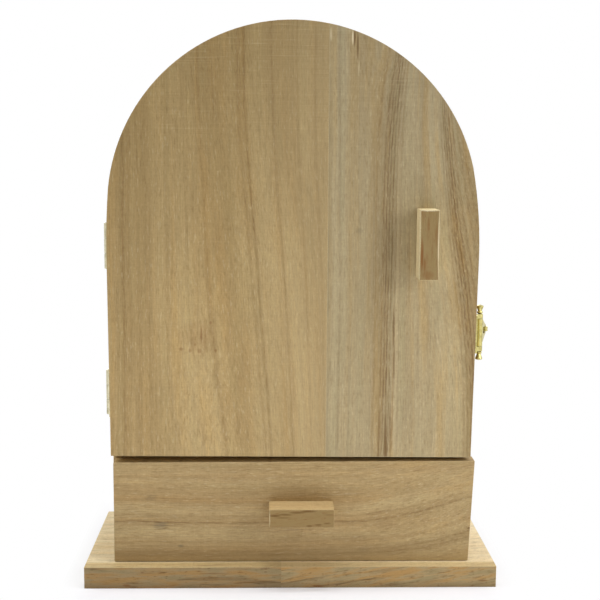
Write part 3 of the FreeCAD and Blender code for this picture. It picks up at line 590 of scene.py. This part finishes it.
RIGHT_BROAD = (
    (34, 6, 0.14), (49, 9, 0.42), (76, 6, 0.18), (101, 6.5, 0.5), (113, 4, 0.45),
)
DRAWER_THIN = (
    (16.5, 1.5, 0.45), (18.5, 1, 0.5), (24, 1.2, 0.3), (35.2, 0.9, 0.7), (38.8, 1, 0.35),
    (47, 1.2, 0.2), (60, 1.2, 0.2),
)
DRAWER_BROAD = ((17.5, 4, 0.3), (36, 4, 0.2))
# Marks on a front, in millimetres: place across and up, half a width, half a height, strength
LEFT_SCARS = (
    (-52, 139, 10, 9, 0.18), (-49.7, 141.4, 0.6, 4.6, 0.55), (-47.6, 139, 0.5, 5.6, 0.3),
    (-56, 132.1, 0.9, 1.1, 0.5), (-50.8, 131.9, 0.8, 1.5, 0.6), (-41.8, 132.1, 0.9, 0.9, 0.45),
    (-60.9, 133, 1.2, 0.9, 0.45), (-53.1, 135.5, 0.7, 0.8, 0.45), (-44.6, 147.5, 0.8, 1, 0.5),
)
RIGHT_SPLITS = ((32.4, 300.5, 0.6, 4, 0.75), (34, 297, 0.5, 7.5, 0.65))
RIGHT_STRONG = (
    (55.6, 146, 0.6, 11, 0.55), (56.4, 124, 0.6, 12, 0.5), (48.4, 84, 0.6, 14, 0.45),
    (52.2, 80, 0.9, 16, 0.75), (54.6, 88, 0.7, 15, 0.5),
)
RIGHT_NICKS = ((19.7, 302.8, 0.5, 3.6, 0.45), (31.2, 300.9, 0.5, 3.6, 0.75), (34.7, 285, 0.4, 4, 0.35))
BASE_FLAWS = ((-91, 1.6, 2.2, 0.8, 0.7), (15, 1, 3, 0.8, 0.7), (107, 4, 2.5, 0.6, 0.6))
DRAWER_KNOTS = (
    (-78.1, 48.9, 3, 1.8, 0.3), (-72.7, 33.3, 4.2, 2, 0.6), (-61.6, 21.1, 1.7, 1, 0.75),
    (41, 19, 3, 1.6, 0.25),
)
DRAWER_CRACKS = ((100.6, 31.1, 1.9, 0.5, 0.9), (-74.5, 35, 2.6, 0.5, 0.55), (-70, 31.6, 2, 0.4, 0.5))
DOOR_HANDLE_PATCHES = (
    (68.3, 187, 0.8, 9, 0.9), (69.8, 181, 0.9, 4, 0.7), (75.8, 198, 0.7, 7, 0.5),
    (71.5, 176, 3.4, 2, 0.45), (71.5, 203, 0.7, 4, 0.45),
)
# Pale lines along the door handle's edges: partly wear, partly painted edge highlight
DOOR_HANDLE_RIMS = ((77.1, 193, 0.4, 15, 0.9), (72.3, 210.3, 5.4, 0.5, 0.8))
DRAWER_HANDLE_PATCHES = (
    (-9.5, 43.7, 3.4, 0.6, 0.8), (-3.5, 44.3, 4, 0.6, 0.75), (3, 45.3, 4.2, 0.6, 0.8),
    (9.5, 46.2, 4, 0.6, 0.8), (-5, 42.5, 4.5, 0.5, 0.45), (9.6, 37.9, 1.6, 0.5, 0.8),
    (14.6, 38.5, 1.8, 0.5, 0.7), (19.5, 39.3, 2.2, 0.5, 0.7), (20, 44.2, 3, 0.5, 0.4),
)
# Pale line along the drawer handle's left end: partly wear, partly painted edge highlight
DRAWER_HANDLE_RIMS = ((-12.1, 42, 0.4, 5, 0.35),)
RIGHT_KNOTS = ((36.2, 198.2, 1.9, 1.6, 0.4),)
# Broken lines along the grain: seed, length and width in millimetres, strength
BASE_DASHES = ((12, 46, 2.8, 0.7), (15, 16, 1.3, 0.65), (18, 4, 0.9, 0.5))
DRAWER_DASHES = ((5, 20, 0.9, 0.26), (8, 6, 0.7, 0.3))
HANDLE_DASHES = ((21, 20, 1.5, 0.45), (25, 5, 0.8, 0.5))
# Lean of the grain across a front
DRAWER_LEAN = 0.02
DOOR_HANDLE_LEAN = 0.03
DRAWER_HANDLE_LEAN = 0.14
# Bends of the grain
LEFT_DRIFTS = (Drift(18, 300, -225, 1.6, -20, 42),)
RIGHT_DRIFTS = (Drift(-25, 76, 186, 1.9, 96, 25), Drift(9, 78, 214, 5, 55, 15))
DRAWER_DRIFT = Drift(14, 33, 67, 1.5, 45, 34)
# Ranges across the boards that hold their lines, in millimetres
LEFT_STREAKS = (-106, 26, LEFT_THIN, LEFT_BROAD)
RIGHT_STREAKS = (14, 128, RIGHT_THIN, RIGHT_BROAD)
DRAWER_STREAKS = (0, 82, DRAWER_THIN, DRAWER_BROAD)
# Place of the base's end joint, and thicknesses of the arch and of plywood layers, in millimetres
END_JOINT = -5.6
ARCH_THICKNESS = 6.0
ARCH_LAYER = 2.0
BOTTOM_LAYER = 3.0
# How far a front takes its own tone
BASE_FRONT_SHARE = 0.85
HANDLE_FRONT_SHARE = 0.9
# Where shades begin and where they are full, in millimetres: up, across, from the joint or in depth
SANDED_UP = (225, 300)
# Painted shade of the door crowns: height where it begins and where it is full
LEFT_CROWN_SHADE_UP = (130, 310)
RIGHT_CROWN_SHADE_UP = (150, 310)
TO_JOINT = (-25, 19)
FAR_RIGHT_ACROSS = (82, 100)
GREY_FROM_JOINT = (38, 24)
GLUE_FROM_JOINT = (3, 0.2)
BASE_FOOT_UP = (4.5, 0.5)
# Painted shadow on the ledge of the base top: depth where it begins and where it is full
BASE_LEDGE_SHADOW_DEPTH = (-40, -44)
DRAWER_FOOT_UP = (30, 12)
# Shades that lie over parts of a board; the crown shades and the ledge shadow are painted shade
LEFT_CROWN_SHADE = (0.78, 0.77, 0.735)
RIGHT_CROWN_SHADE = (0.9, 0.92, 0.96)
FAR_RIGHT = (0.93, 0.88, 0.78)
BASE_LEFT = (0.87, 0.86, 0.81)
BASE_LEFT_FRONT = (0.84, 0.83, 0.86)
BASE_WARM = (1.08, 0.9, 0.66)
BASE_GREY = (0.84, 0.89, 0.88)
BASE_LEDGE_SHADOW = (0.69, 0.63, 0.5)


class KEYBOX_OT_door(bpy.types.Operator):
    """Wood of the two door boards"""

    bl_idname = "keybox.door"
    bl_label = "Door Boards"

    def execute(self, context):
        settings = context.scene.key_box
        ease = settings.surface.door_ease
        left = wood(
            "door_wood_left", settings, "Z", "door_left", 11.0,
            drifts=LEFT_DRIFTS,
            streaks=LEFT_STREAKS,
            marks=self.left_marks,
            line_shade=settings.wood.soft_streak,
        )
        right = wood(
            "door_wood_right", settings, "Z", "door_right", 23.0,
            drifts=RIGHT_DRIFTS,
            streaks=RIGHT_STREAKS,
            marks=self.right_marks,
            banding=1.0,
        )
        dress(["door_left_board"], left, ease)
        dress(["door_right_board"], right, ease)
        return {"FINISHED"}

    def sanding_marks(self, coat, tones, tint):
        """Fine scratches across the grain near the crown, pale ones and dark ones."""
        near_top = coat.spread(coat.axes["Z"], *SANDED_UP)
        for low, high, most, shade in ((0.6, 0.72, 0.12, tones.pale_wear_and_highlight), (0.4, 0.3, 0.15, tones.pore)):
            scratch = coat.spread(coat.noises["saw"], low, high, 0.0, most)
            tint = coat.cover(tint, shade, scratch, near_top)
        return tint

    def left_marks(self, coat, tones, tint):
        """Darker, browner crown from painted shade, paler wood towards the joint, and a few brown marks."""
        # Painted shade: the colour darkens and browns towards the crown
        tint = coat.stain(tint, LEFT_CROWN_SHADE, coat.spread(coat.axes["Z"], *LEFT_CROWN_SHADE_UP))
        to_joint = coat.spread(coat.axes["X"], *TO_JOINT, 0.0, 0.28)
        tint = coat.cover(tint, tones.door_right_pale, to_joint)
        tint = self.sanding_marks(coat, tones, tint)
        return spots(coat, tint, tones.handle_patch, LEFT_SCARS)

    def right_marks(self, coat, tones, tint):
        """Greyer, darker crown from painted shade, browner far edge, grey line along the joint,
        dark lines, a knot and pale nicks.
        """
        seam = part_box("door_right_board")[0].x * PER_METRE
        tint = self.sanding_marks(coat, tones, tint)
        # Painted shade: the colour darkens and greys towards the crown
        tint = coat.stain(tint, RIGHT_CROWN_SHADE, coat.spread(coat.axes["Z"], *RIGHT_CROWN_SHADE_UP))
        tint = coat.stain(tint, FAR_RIGHT, coat.spread(coat.axes["X"], *FAR_RIGHT_ACROSS))
        off = coat.minus(coat.axes["X"], seam)
        mottle = coat.noises["mottle"]
        grey = coat.spread(off, *GREY_FROM_JOINT)
        tint = coat.cover(tint, tones.glue, grey, coat.spread(mottle, 0.3, 0.65, 0.05, 0.25))
        line = coat.spread(off, *GLUE_FROM_JOINT, 0.0, 0.6)
        tint = coat.cover(tint, tones.glue, line, coat.spread(mottle, 0.35, 0.6, 0.2, 1.0))
        tint = spots(coat, tint, tones.streak, RIGHT_SPLITS + RIGHT_STRONG)
        tint = spots(coat, tint, tones.knot, RIGHT_KNOTS)
        return spots(coat, tint, tones.pale_wear_and_highlight, RIGHT_NICKS)


class KEYBOX_OT_carcase(bpy.types.Operator):
    """Wood of the sides, back, floor and arched top"""

    bl_idname = "keybox.carcase"
    bl_label = "Carcase"

    def execute(self, context):
        settings = context.scene.key_box
        ease = settings.surface.edge_ease
        upright = wood("carcase_wood_upright", settings, "Z", "carcase", 31.0)
        dress(["left_side", "right_side", "back_panel"], upright, ease)
        dress(["cabinet_floor"], wood("carcase_wood_level", settings, "X", "carcase", 37.0), ease)
        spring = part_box("arch_top")[0].z * PER_METRE
        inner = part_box("arch_top")[1].x * PER_METRE - ARCH_THICKNESS

        def layers(coat, parts):
            square = coat.squares(parts[0], coat.minus(parts[2], spring))
            return coat.over(coat.minus(coat.math("SQRT", square), inner), ARCH_LAYER)

        dress(["arch_top"], plywood("bent_plywood", settings, 41.0, layers), ease)
        return {"FINISHED"}


class KEYBOX_OT_base(bpy.types.Operator):
    """Wood of the base board"""

    bl_idname = "keybox.base"
    bl_label = "Base Board"

    def execute(self, context):
        settings = context.scene.key_box
        plank = wood("base_wood", settings, "X", "base", 53.0, marks=self.end_joint)
        dress(["base_board"], plank, settings.surface.edge_ease)
        return {"FINISHED"}

    def end_joint(self, coat, tones, tint):
        """Two lengths joined end to end, the left one darker, a browner sawn front, and painted shadow on
        the ledge.
        """
        across, depth, up = coat.axes.values()
        left = coat.math("LESS_THAN", across, END_JOINT)
        front = coat.facing_front()
        tint = coat.stain(tint, BASE_LEFT, left)
        sawn = coat.stain(tones.base_front, BASE_LEFT_FRONT, left)
        tint = coat.cover(tint, sawn, front, BASE_FRONT_SHARE)
        girth = coat.plus(up, coat.times(depth, 0.55))
        lean = coat.minus(0.16, coat.times(left, 0.15))
        flat = slant(coat, across, girth, lean)
        figure = coat.noise(flat, (24.0, 3.2, 1.0), 31.0, detail=3.0, roughness=0.65)
        for low, high, shade in ((0.48, 0.62, BASE_WARM), (0.5, 0.38, BASE_GREY)):
            tint = coat.stain(tint, shade, coat.spread(figure, low, high), front)
        tint = coat.cover(tint, tones.streak, coat.spread(up, *BASE_FOOT_UP, 0.0, 0.4), front)
        # Painted shadow of the drawer front on the top's ledge in front of it
        ledge_shadow = coat.spread(depth, *BASE_LEDGE_SHADOW_DEPTH)
        tint = coat.stain(tint, BASE_LEDGE_SHADOW, ledge_shadow, coat.minus(1.0, front))
        strong = coat.spread(front, 0.0, 1.0, 0.45, 1.0)
        tint = dashes(coat, tint, tones.streak, flat, BASE_DASHES, strong)
        return spots(coat, tint, tones.handle_patch, BASE_FLAWS)


class KEYBOX_OT_drawer(bpy.types.Operator):
    """Wood of the drawer"""

    bl_idname = "keybox.drawer"
    bl_label = "Drawer"

    def execute(self, context):
        settings = context.scene.key_box
        ease = settings.surface.edge_ease
        front = wood(
            "drawer_wood_front", settings, "X", "drawer", 61.0,
            drifts=(DRAWER_DRIFT,),
            streaks=DRAWER_STREAKS,
            marks=self.small_knots,
        )
        dress(["drawer_front"], front, ease)
        inner = wood("drawer_wood_inner", settings, "Y", "carcase", 67.0)
        dress(["drawer_left_side", "drawer_right_side"], inner, ease)
        dress(["drawer_back"], wood("drawer_wood_back", settings, "X", "carcase", 71.0), ease)
        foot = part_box("drawer_bottom")[0].z * PER_METRE

        def layers(coat, parts):
            return coat.over(coat.minus(parts[2], foot), BOTTOM_LAYER)

        dress(["drawer_bottom"], plywood("flat_plywood", settings, 73.0, layers))
        return {"FINISHED"}

    def small_knots(self, coat, tones, tint):
        """Grey spots that are longer along the grain, cracks, broken brown lines and a darker foot."""
        across, up = coat.axes["X"], coat.axes["Z"]
        tint = spots(coat, tint, tones.knot, DRAWER_KNOTS)
        tint = spots(coat, tint, tones.streak, DRAWER_CRACKS)
        level = coat.minus(up, DRAWER_DRIFT.shift(coat, up, across))
        flat = slant(coat, across, level, DRAWER_LEAN)
        tint = dashes(coat, tint, tones.streak, flat, DRAWER_DASHES)
        return coat.cover(tint, tones.drawer_dark, coat.spread(up, *DRAWER_FOOT_UP, 0.0, 0.4))


class KEYBOX_OT_handles(bpy.types.Operator):
    """Wood of the two handles"""

    bl_idname = "keybox.handles"
    bl_label = "Handles"

    def execute(self, context):
        settings = context.scene.key_box
        tones = settings.wood
        upright = self.brown_front(
            "Z", DOOR_HANDLE_LEAN, tones.handle_front,
            (tones.handle_patch, DOOR_HANDLE_PATCHES), (tones.pale_wear_and_highlight, DOOR_HANDLE_RIMS),
        )
        level = self.brown_front(
            "X", DRAWER_HANDLE_LEAN, tones.drawer_handle_front,
            (tones.streak, DRAWER_HANDLE_PATCHES), (tones.pale_wear_and_highlight, DRAWER_HANDLE_RIMS),
        )
        for name, grain, kind, seed, marks, wear_and_highlight_most in (
            ("door_handle", "Z", "handle", 83.0, upright, 1.2),
            ("drawer_handle", "X", "drawer_handle", 89.0, level, 0.3),
        ):
            block = wood(f"{name}_wood", settings, grain, kind, seed, marks=marks, wear_and_highlight_most=wear_and_highlight_most)
            dress([name], block, settings.surface.edge_ease)
        return {"FINISHED"}

    def brown_front(self, grain, lean, front_shade, *groups):
        """Browner front with dark lines along the grain and groups of spots; the other faces stay pale."""

        def marks(coat, tones, tint):
            front = coat.facing_front()
            tint = coat.cover(tint, front_shade, front, HANDLE_FRONT_SHARE)
            flat = slant(coat, coat.axes[grain], coat.axes[ACROSS[grain]], lean)
            tint = dashes(coat, tint, tones.handle_patch, flat, HANDLE_DASHES, front)
            for shade, places in groups:
                tint = spots(coat, tint, shade, places)
            return tint

        return marks


class KEYBOX_OT_brass(bpy.types.Operator):
    """Brass of the hinges, hasp and key hooks"""

    bl_idname = "keybox.brass"
    bl_label = "Hinges, Hasp and Hooks"

    def execute(self, context):
        tones = context.scene.key_box.metal
        names = [row["node"] for row in frame["record"]["subparts"] if row["material_slot"] == "brass"]
        hinges = [name for name in names if "hinge" in name]
        others = [name for name in names if name not in hinges]
        dress(hinges, brass("hinge_brass", tones.hinge_bright, tones.hinge_dull))
        dress(others, brass("brass", tones.brass_bright, tones.brass_dull))
        return {"FINISHED"}


# Points around half a screw
RING_POINTS = 14
# Turn of each screw's slot from the one before, in radians
SCREW_TURN = 0.7
HANDLE_SCREW_TURN = 0.9
HANDLE_SCREW_SLOT = 0.9 * MM
# Rings of the round head, as shares of half its width: radius and height
ROUND_HEAD = ((0.55, 0.52), (0.86, 0.36), (0.96, 0.2))
ROUND_HEAD_LIP = 0.1 * MM
# Hinge leaves: depth of the seat of a screw, its place behind the edge, distance between the two
LEAF_FACE = 0.8 * MM
LEAF_INSET = 3.35 * MM
LEAF_SPACING = 15.0 * MM
# Plates of the hasp: node, body, and the same three lengths
HASP_PLATES = (
    ("hasp_door_plate", "door", 1.4 * MM, 3.3 * MM, 12.0 * MM),
    ("hasp_keeper_plate", "cabinet", 1.2 * MM, 4.5 * MM, 10.6 * MM),
)
# Nail: its shank and the rings of its head, as shares of the head's width: radius and height
NAIL_SHANK = 0.26
NAIL_HEAD = ((0.2, 0.14), (0.38, 0.11), (0.5, 0.0), (NAIL_SHANK, -0.1))
# Heights of the nails, as shares of a side's height
NAIL_PLACES = (0.1, 0.5, 0.9)


def ring(mesh, radius, height, angles):
    return [mesh.verts.new((radius * math.cos(turn), radius * math.sin(turn), height)) for turn in angles]


def bridge(mesh, upper, lower, closed):
    """Faces between two rings of points."""
    count = len(upper) if closed else len(upper) - 1
    for index in range(count):
        follower = (index + 1) % len(upper)
        mesh.faces.new((upper[index], lower[index], lower[follower], upper[follower]))


def slotted_screw(name, head_rings, body_rings, tip, slot):
    """Screw mesh.

    The head's rings run from its top to the floor of the slot, the body's from there to the point.
    """
    mesh = bmesh.new()
    opening = math.asin(slot / 2 / head_rings[0][0])
    step = (math.pi - 2 * opening) / (RING_POINTS - 1)
    sides = [[start + opening + step * index for index in range(RING_POINTS)] for start in (0.0, math.pi)]
    lows = []
    for angles in sides:
        rings = [ring(mesh, radius, height, angles) for radius, height in head_rings]
        mesh.faces.new(rings[0])
        for upper, lower in zip(rings, rings[1:]):
            bridge(mesh, upper, lower, closed=False)
        wall = [points[0] for points in reversed(rings)] + [points[-1] for points in rings]
        mesh.faces.new(wall)
        lows.append(rings[-1])
    mesh.faces.new((lows[0][0], lows[0][-1], lows[1][0], lows[1][-1]))
    upper = lows[0] + lows[1]
    angles = sides[0] + sides[1]
    for radius, height in body_rings:
        lower = ring(mesh, radius, height, angles)
        bridge(mesh, upper, lower, closed=True)
        upper = lower
    return pointed(name, mesh, upper, tip)


def nail_mesh(name, head, length_below):
    """Round nail with a low domed head and a point."""
    mesh = bmesh.new()
    angles = [2 * math.pi * index / (2 * RING_POINTS) for index in range(2 * RING_POINTS)]
    shank = head * NAIL_SHANK
    profile = [(head * radius, head * height) for radius, height in NAIL_HEAD]
    profile.append((shank, 2 * shank - length_below))
    rings = [ring(mesh, radius, height, angles) for radius, height in profile]
    mesh.faces.new(rings[0])
    for upper, lower in zip(rings, rings[1:]):
        bridge(mesh, upper, lower, closed=True)
    return pointed(name, mesh, rings[-1], -length_below)


def pointed(name, mesh, last, tip):
    """Close the last ring to a point."""
    point = mesh.verts.new((0.0, 0.0, tip))
    for index, vertex in enumerate(last):
        mesh.faces.new((vertex, point, last[(index + 1) % len(last)]))
    return finish_mesh(name, mesh)


def finish_mesh(name, mesh):
    bmesh.ops.recalc_face_normals(mesh, faces=mesh.faces)
    data = bpy.data.meshes.new(name)
    mesh.to_mesh(data)
    mesh.free()
    return data


def add_object(name, data):
    piece = bpy.data.objects.new(name, data)
    bpy.context.scene.collection.objects.link(piece)
    return piece


def fix(name, data, spot, facing, turn, body):
    """Put a fastener with its head at a spot, facing one way, and let it ride on a body."""
    piece = add_object(name, data.copy())
    aim = Vector(facing).to_track_quat("Z", "Y").to_matrix().to_4x4()
    piece.matrix_world = Matrix.Translation(spot) @ aim @ Matrix.Rotation(turn, 4, "Z")
    piece.data.materials.append(bpy.data.materials["brass"])
    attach(piece, body)


class KEYBOX_OT_fasteners(bpy.types.Operator):
    """Screws of the hinges, hasp and handles, and nails of the back"""

    bl_idname = "keybox.fasteners"
    bl_label = "Screws and Nails"

    def execute(self, context):
        sizes = context.scene.key_box.metal
        self.plate_screws(sizes)
        self.handle_screws(sizes)
        self.back_nails(sizes)
        return {"FINISHED"}

    def plate_screws(self, sizes):
        head = sizes.screw_head / 2
        shank = sizes.screw_shank / 2
        floor = sizes.screw_slot_depth
        rings = [(head, 0.0), (head - floor, -floor)]
        body_rings = [(shank, shank - head), (shank, 2 * shank - sizes.screw_length)]
        data = slotted_screw("plate_screw", rings, body_rings, -sizes.screw_length, sizes.screw_slot)
        rows = []
        for name in ("upper_hinge", "lower_hinge"):
            for side in ("door", "cabinet"):
                low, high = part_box(f"{name}_{side}_leaf")
                depth = low.y + LEAF_INSET if side == "door" else high.y - LEAF_INSET
                middle = Vector((high.x - LEAF_FACE, depth, (low.z + high.z) / 2))
                rows.append((f"{name}_{side}", middle, LEAF_SPACING, (-1, 0, 0), side))
        for name, body, face, inset, spacing in HASP_PLATES:
            low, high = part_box(name)
            middle = Vector((low.x + face, low.y + inset, (low.z + high.z) / 2))
            rows.append((name, middle, spacing, (1, 0, 0), body))
        number = 0
        for name, middle, spacing, facing, body in rows:
            for sign, end in ((-1, "low"), (1, "high")):
                number += 1
                spot = middle + Vector((0, 0, sign * spacing / 2))
                fix(f"{name}_screw_{end}", data, spot, facing, SCREW_TURN * number, body)

    def handle_screws(self, sizes):
        head = sizes.handle_screw_head / 2
        shank = sizes.handle_screw_shank / 2
        below = sizes.handle_screw_length
        rings = [(head * radius, head * height) for radius, height in ROUND_HEAD]
        body_rings = [(head, 0.0), (shank, -ROUND_HEAD_LIP), (shank, 2 * shank - below)]
        data = slotted_screw("handle_screw", rings, body_rings, -below, HANDLE_SCREW_SLOT)
        for name, body, front, run in (
            ("door_handle", "door", "door_right_board", Vector((0, 0, 1))),
            ("drawer_handle", "drawer", "drawer_front", Vector((1, 0, 0))),
        ):
            low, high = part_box(name)
            middle = (low + high) / 2
            middle.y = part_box(front)[1].y
            for number, sign in enumerate((-1, 1), start=1):
                spot = middle + run * sign * sizes.handle_screw_spacing / 2
                turn = HANDLE_SCREW_TURN * number
                fix(f"{name}_screw_{number}", data, spot, (0, 1, 0), turn, body)

    def back_nails(self, sizes):
        data = nail_mesh("back_nail", sizes.nail_head, sizes.nail_length)
        low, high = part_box("back_panel")
        side_low, side_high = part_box("left_side")
        inset = (side_high.x - side_low.x) / 2
        number = 0
        for across in (low.x + inset, high.x - inset):
            for share in NAIL_PLACES:
                number += 1
                height = side_low.z + share * (side_high.z - side_low.z)
                spot = Vector((across, high.y, height))
                fix(f"back_panel_nail_{number}", data, spot, (0, 1, 0), 0.0, "cabinet")


def area_lamp(name, power, width, depth, spot, target):
    """Soft rectangular lamp that points at a target."""
    data = bpy.data.lights.new(name, "AREA")
    data.energy = power
    data.shape = "RECTANGLE"
    data.size = width
    data.size_y = depth
    lamp = add_object(name, data)
    lamp.location = spot
    lamp.rotation_euler = (Vector(target) - Vector(spot)).to_track_quat("-Z", "Y").to_euler()
    lamp.visible_camera = False


MIDDLE = (0.0, 0.0, 0.14)
# Lamps: name, setting that holds the power, width and depth, place and target, in metres
LAMPS = (
    ("overhead_lamp", "overhead", 0.5, 0.12, (0.0, -0.09, 1.0), (0.0, -0.09, 0.0)),
    ("white_card", "card", 0.4, 0.4, (-0.05, -0.31, 0.004), (-0.05, -0.31, 1.0)),
    ("left_lamp", "left_side", 0.6, 0.6, (-0.75, -0.06, 0.8), MIDDLE),
    ("right_lamp", "right_side", 0.6, 0.6, (0.75, -0.1, 0.8), MIDDLE),
    ("right_front_lamp", "right_front", 0.2, 0.26, (0.49, -0.395, 0.3), MIDDLE),
    ("back_lamp", "back_side", 0.6, 0.6, (0.0, 0.9, 0.4), MIDDLE),
)
FLOOR_RADIUS = 6.0
FLOOR_SIDES = 96
# Where the floor fades to white beside the base and before it, in millimetres from its edges
FADE_BESIDE = (-14.0, 14.0)
FADE_BEFORE = (0.0, 62.0)
FLOOR_GLOSS = 0.9
FLOOR_SHINE = 0.1
NEAREST_SEEN = 0.01
WHITE = (1.0, 1.0, 1.0)


class KEYBOX_OT_stage(bpy.types.Operator):
    """Floor, lamps, surroundings and camera"""

    bl_idname = "keybox.stage"
    bl_label = "Studio"

    def execute(self, context):
        studio = context.scene.key_box.studio
        context.scene.view_settings.view_transform = "Standard"
        self.surroundings(context.scene, studio)
        self.floor(studio)
        for name, setting, *layout in LAMPS:
            area_lamp(name, getattr(studio, setting), *layout)
        self.camera(context.scene, studio)
        return {"FINISHED"}

    def surroundings(self, scene, studio):
        """Even light, and plain white where the camera or a reflection looks past the box."""
        coat = Coat(bpy.data.worlds.new("white_tent"), "Background")
        scene.world = coat.block
        direction = coat.split(coat.node("ShaderNodeTexCoord", {}, "Generated"))
        even = coat.spread(direction[1], -1.0, 1.0, studio.ambient_front, studio.ambient_back)
        level = coat.spread(coat.looked_at(), 0.0, 1.0, even, 1.0)
        coat.paint({"Color": WHITE, "Strength": level})

    def floor(self, studio):
        """Round sheet of pale paper that fades into the white surroundings away from the box."""
        mesh = bmesh.new()
        bmesh.ops.create_circle(mesh, cap_ends=True, segments=FLOOR_SIDES, radius=FLOOR_RADIUS)
        paper = add_object("paper_floor", finish_mesh("paper_floor", mesh))
        coat = Coat(bpy.data.materials.new("white_paper"))
        point = coat.place()
        parts = coat.split(point)
        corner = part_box("base_board")[1] * PER_METRE
        beside = coat.minus(coat.math("ABSOLUTE", parts[0]), corner.x)
        before = coat.minus(coat.math("ABSOLUTE", parts[1]), corner.y)
        fades = coat.spread(beside, *FADE_BESIDE), coat.spread(before, *FADE_BEFORE)
        away = coat.math("MAXIMUM", *fades)
        fleck = coat.noise(point, (1.5, 1.5, 1.5), 2.0, detail=3.0)
        level = coat.spread(fleck, 0.3, 0.7, 0.99, 1.0)
        tint = coat.stain(studio.floor_pale, coat.join(level, level, level), 1.0)
        coat.paint({"Base Color": tint, "Roughness": FLOOR_GLOSS, "Specular IOR Level": FLOOR_SHINE})
        white = coat.node("ShaderNodeEmission", {})
        share = coat.times(away, coat.looked_at())
        blend = coat.node("ShaderNodeMixShader", {0: share, 1: coat.shader.outputs[0], 2: white})
        coat.feed(coat.nodes["Material Output"].inputs["Surface"], blend)
        paper.data.materials.append(coat.block)

    def camera(self, scene, studio):
        data = bpy.data.cameras.new("camera")
        data.lens = studio.lens
        data.sensor_width = studio.sensor
        data.clip_start = NEAREST_SEEN
        camera = add_object("camera", data)
        place = Matrix.Translation((studio.camera_across, studio.camera_depth, studio.camera_height))
        heading = Matrix.Rotation(-studio.camera_yaw, 4, "Z")
        tilt = Matrix.Rotation(math.pi / 2 - studio.camera_pitch, 4, "X")
        lean = Matrix.Rotation(-studio.camera_roll, 4, "Z")
        camera.matrix_world = place @ heading @ tilt @ lean
        scene.camera = camera


class KEYBOX_PT_panel(bpy.types.Panel):
    """Pieces of the key box"""

    bl_idname = "KEYBOX_PT_panel"
    bl_label = "Key Box"
    bl_space_type = "VIEW_3D"
    bl_region_type = "UI"
    bl_category = "Key Box"

    def draw(self, context):
        for operator in OPERATORS:
            self.layout.operator(operator.bl_idname)


OPERATORS = (
    KEYBOX_OT_door, KEYBOX_OT_carcase, KEYBOX_OT_base, KEYBOX_OT_drawer,
    KEYBOX_OT_handles, KEYBOX_OT_brass, KEYBOX_OT_fasteners, KEYBOX_OT_stage,
)
GROUPS = (KeyBoxWood, KeyBoxMetal, KeyBoxSurface, KeyBoxStudio, KeyBoxSettings)


def register():
    for entry in (*GROUPS, *OPERATORS, KEYBOX_PT_panel):
        bpy.utils.register_class(entry)
    bpy.types.Scene.key_box = PointerProperty(type=KeyBoxSettings)


def unregister():
    del bpy.types.Scene.key_box
    for entry in reversed((*GROUPS, *OPERATORS, KEYBOX_PT_panel)):
        bpy.utils.unregister_class(entry)


def main():
    register()
    bpy.ops.keybox.door()
    bpy.ops.keybox.carcase()
    bpy.ops.keybox.base()
    bpy.ops.keybox.drawer()
    bpy.ops.keybox.handles()
    bpy.ops.keybox.brass()
    bpy.ops.keybox.fasteners()
    bpy.ops.keybox.stage()


if __name__ == "__main__":
    main()
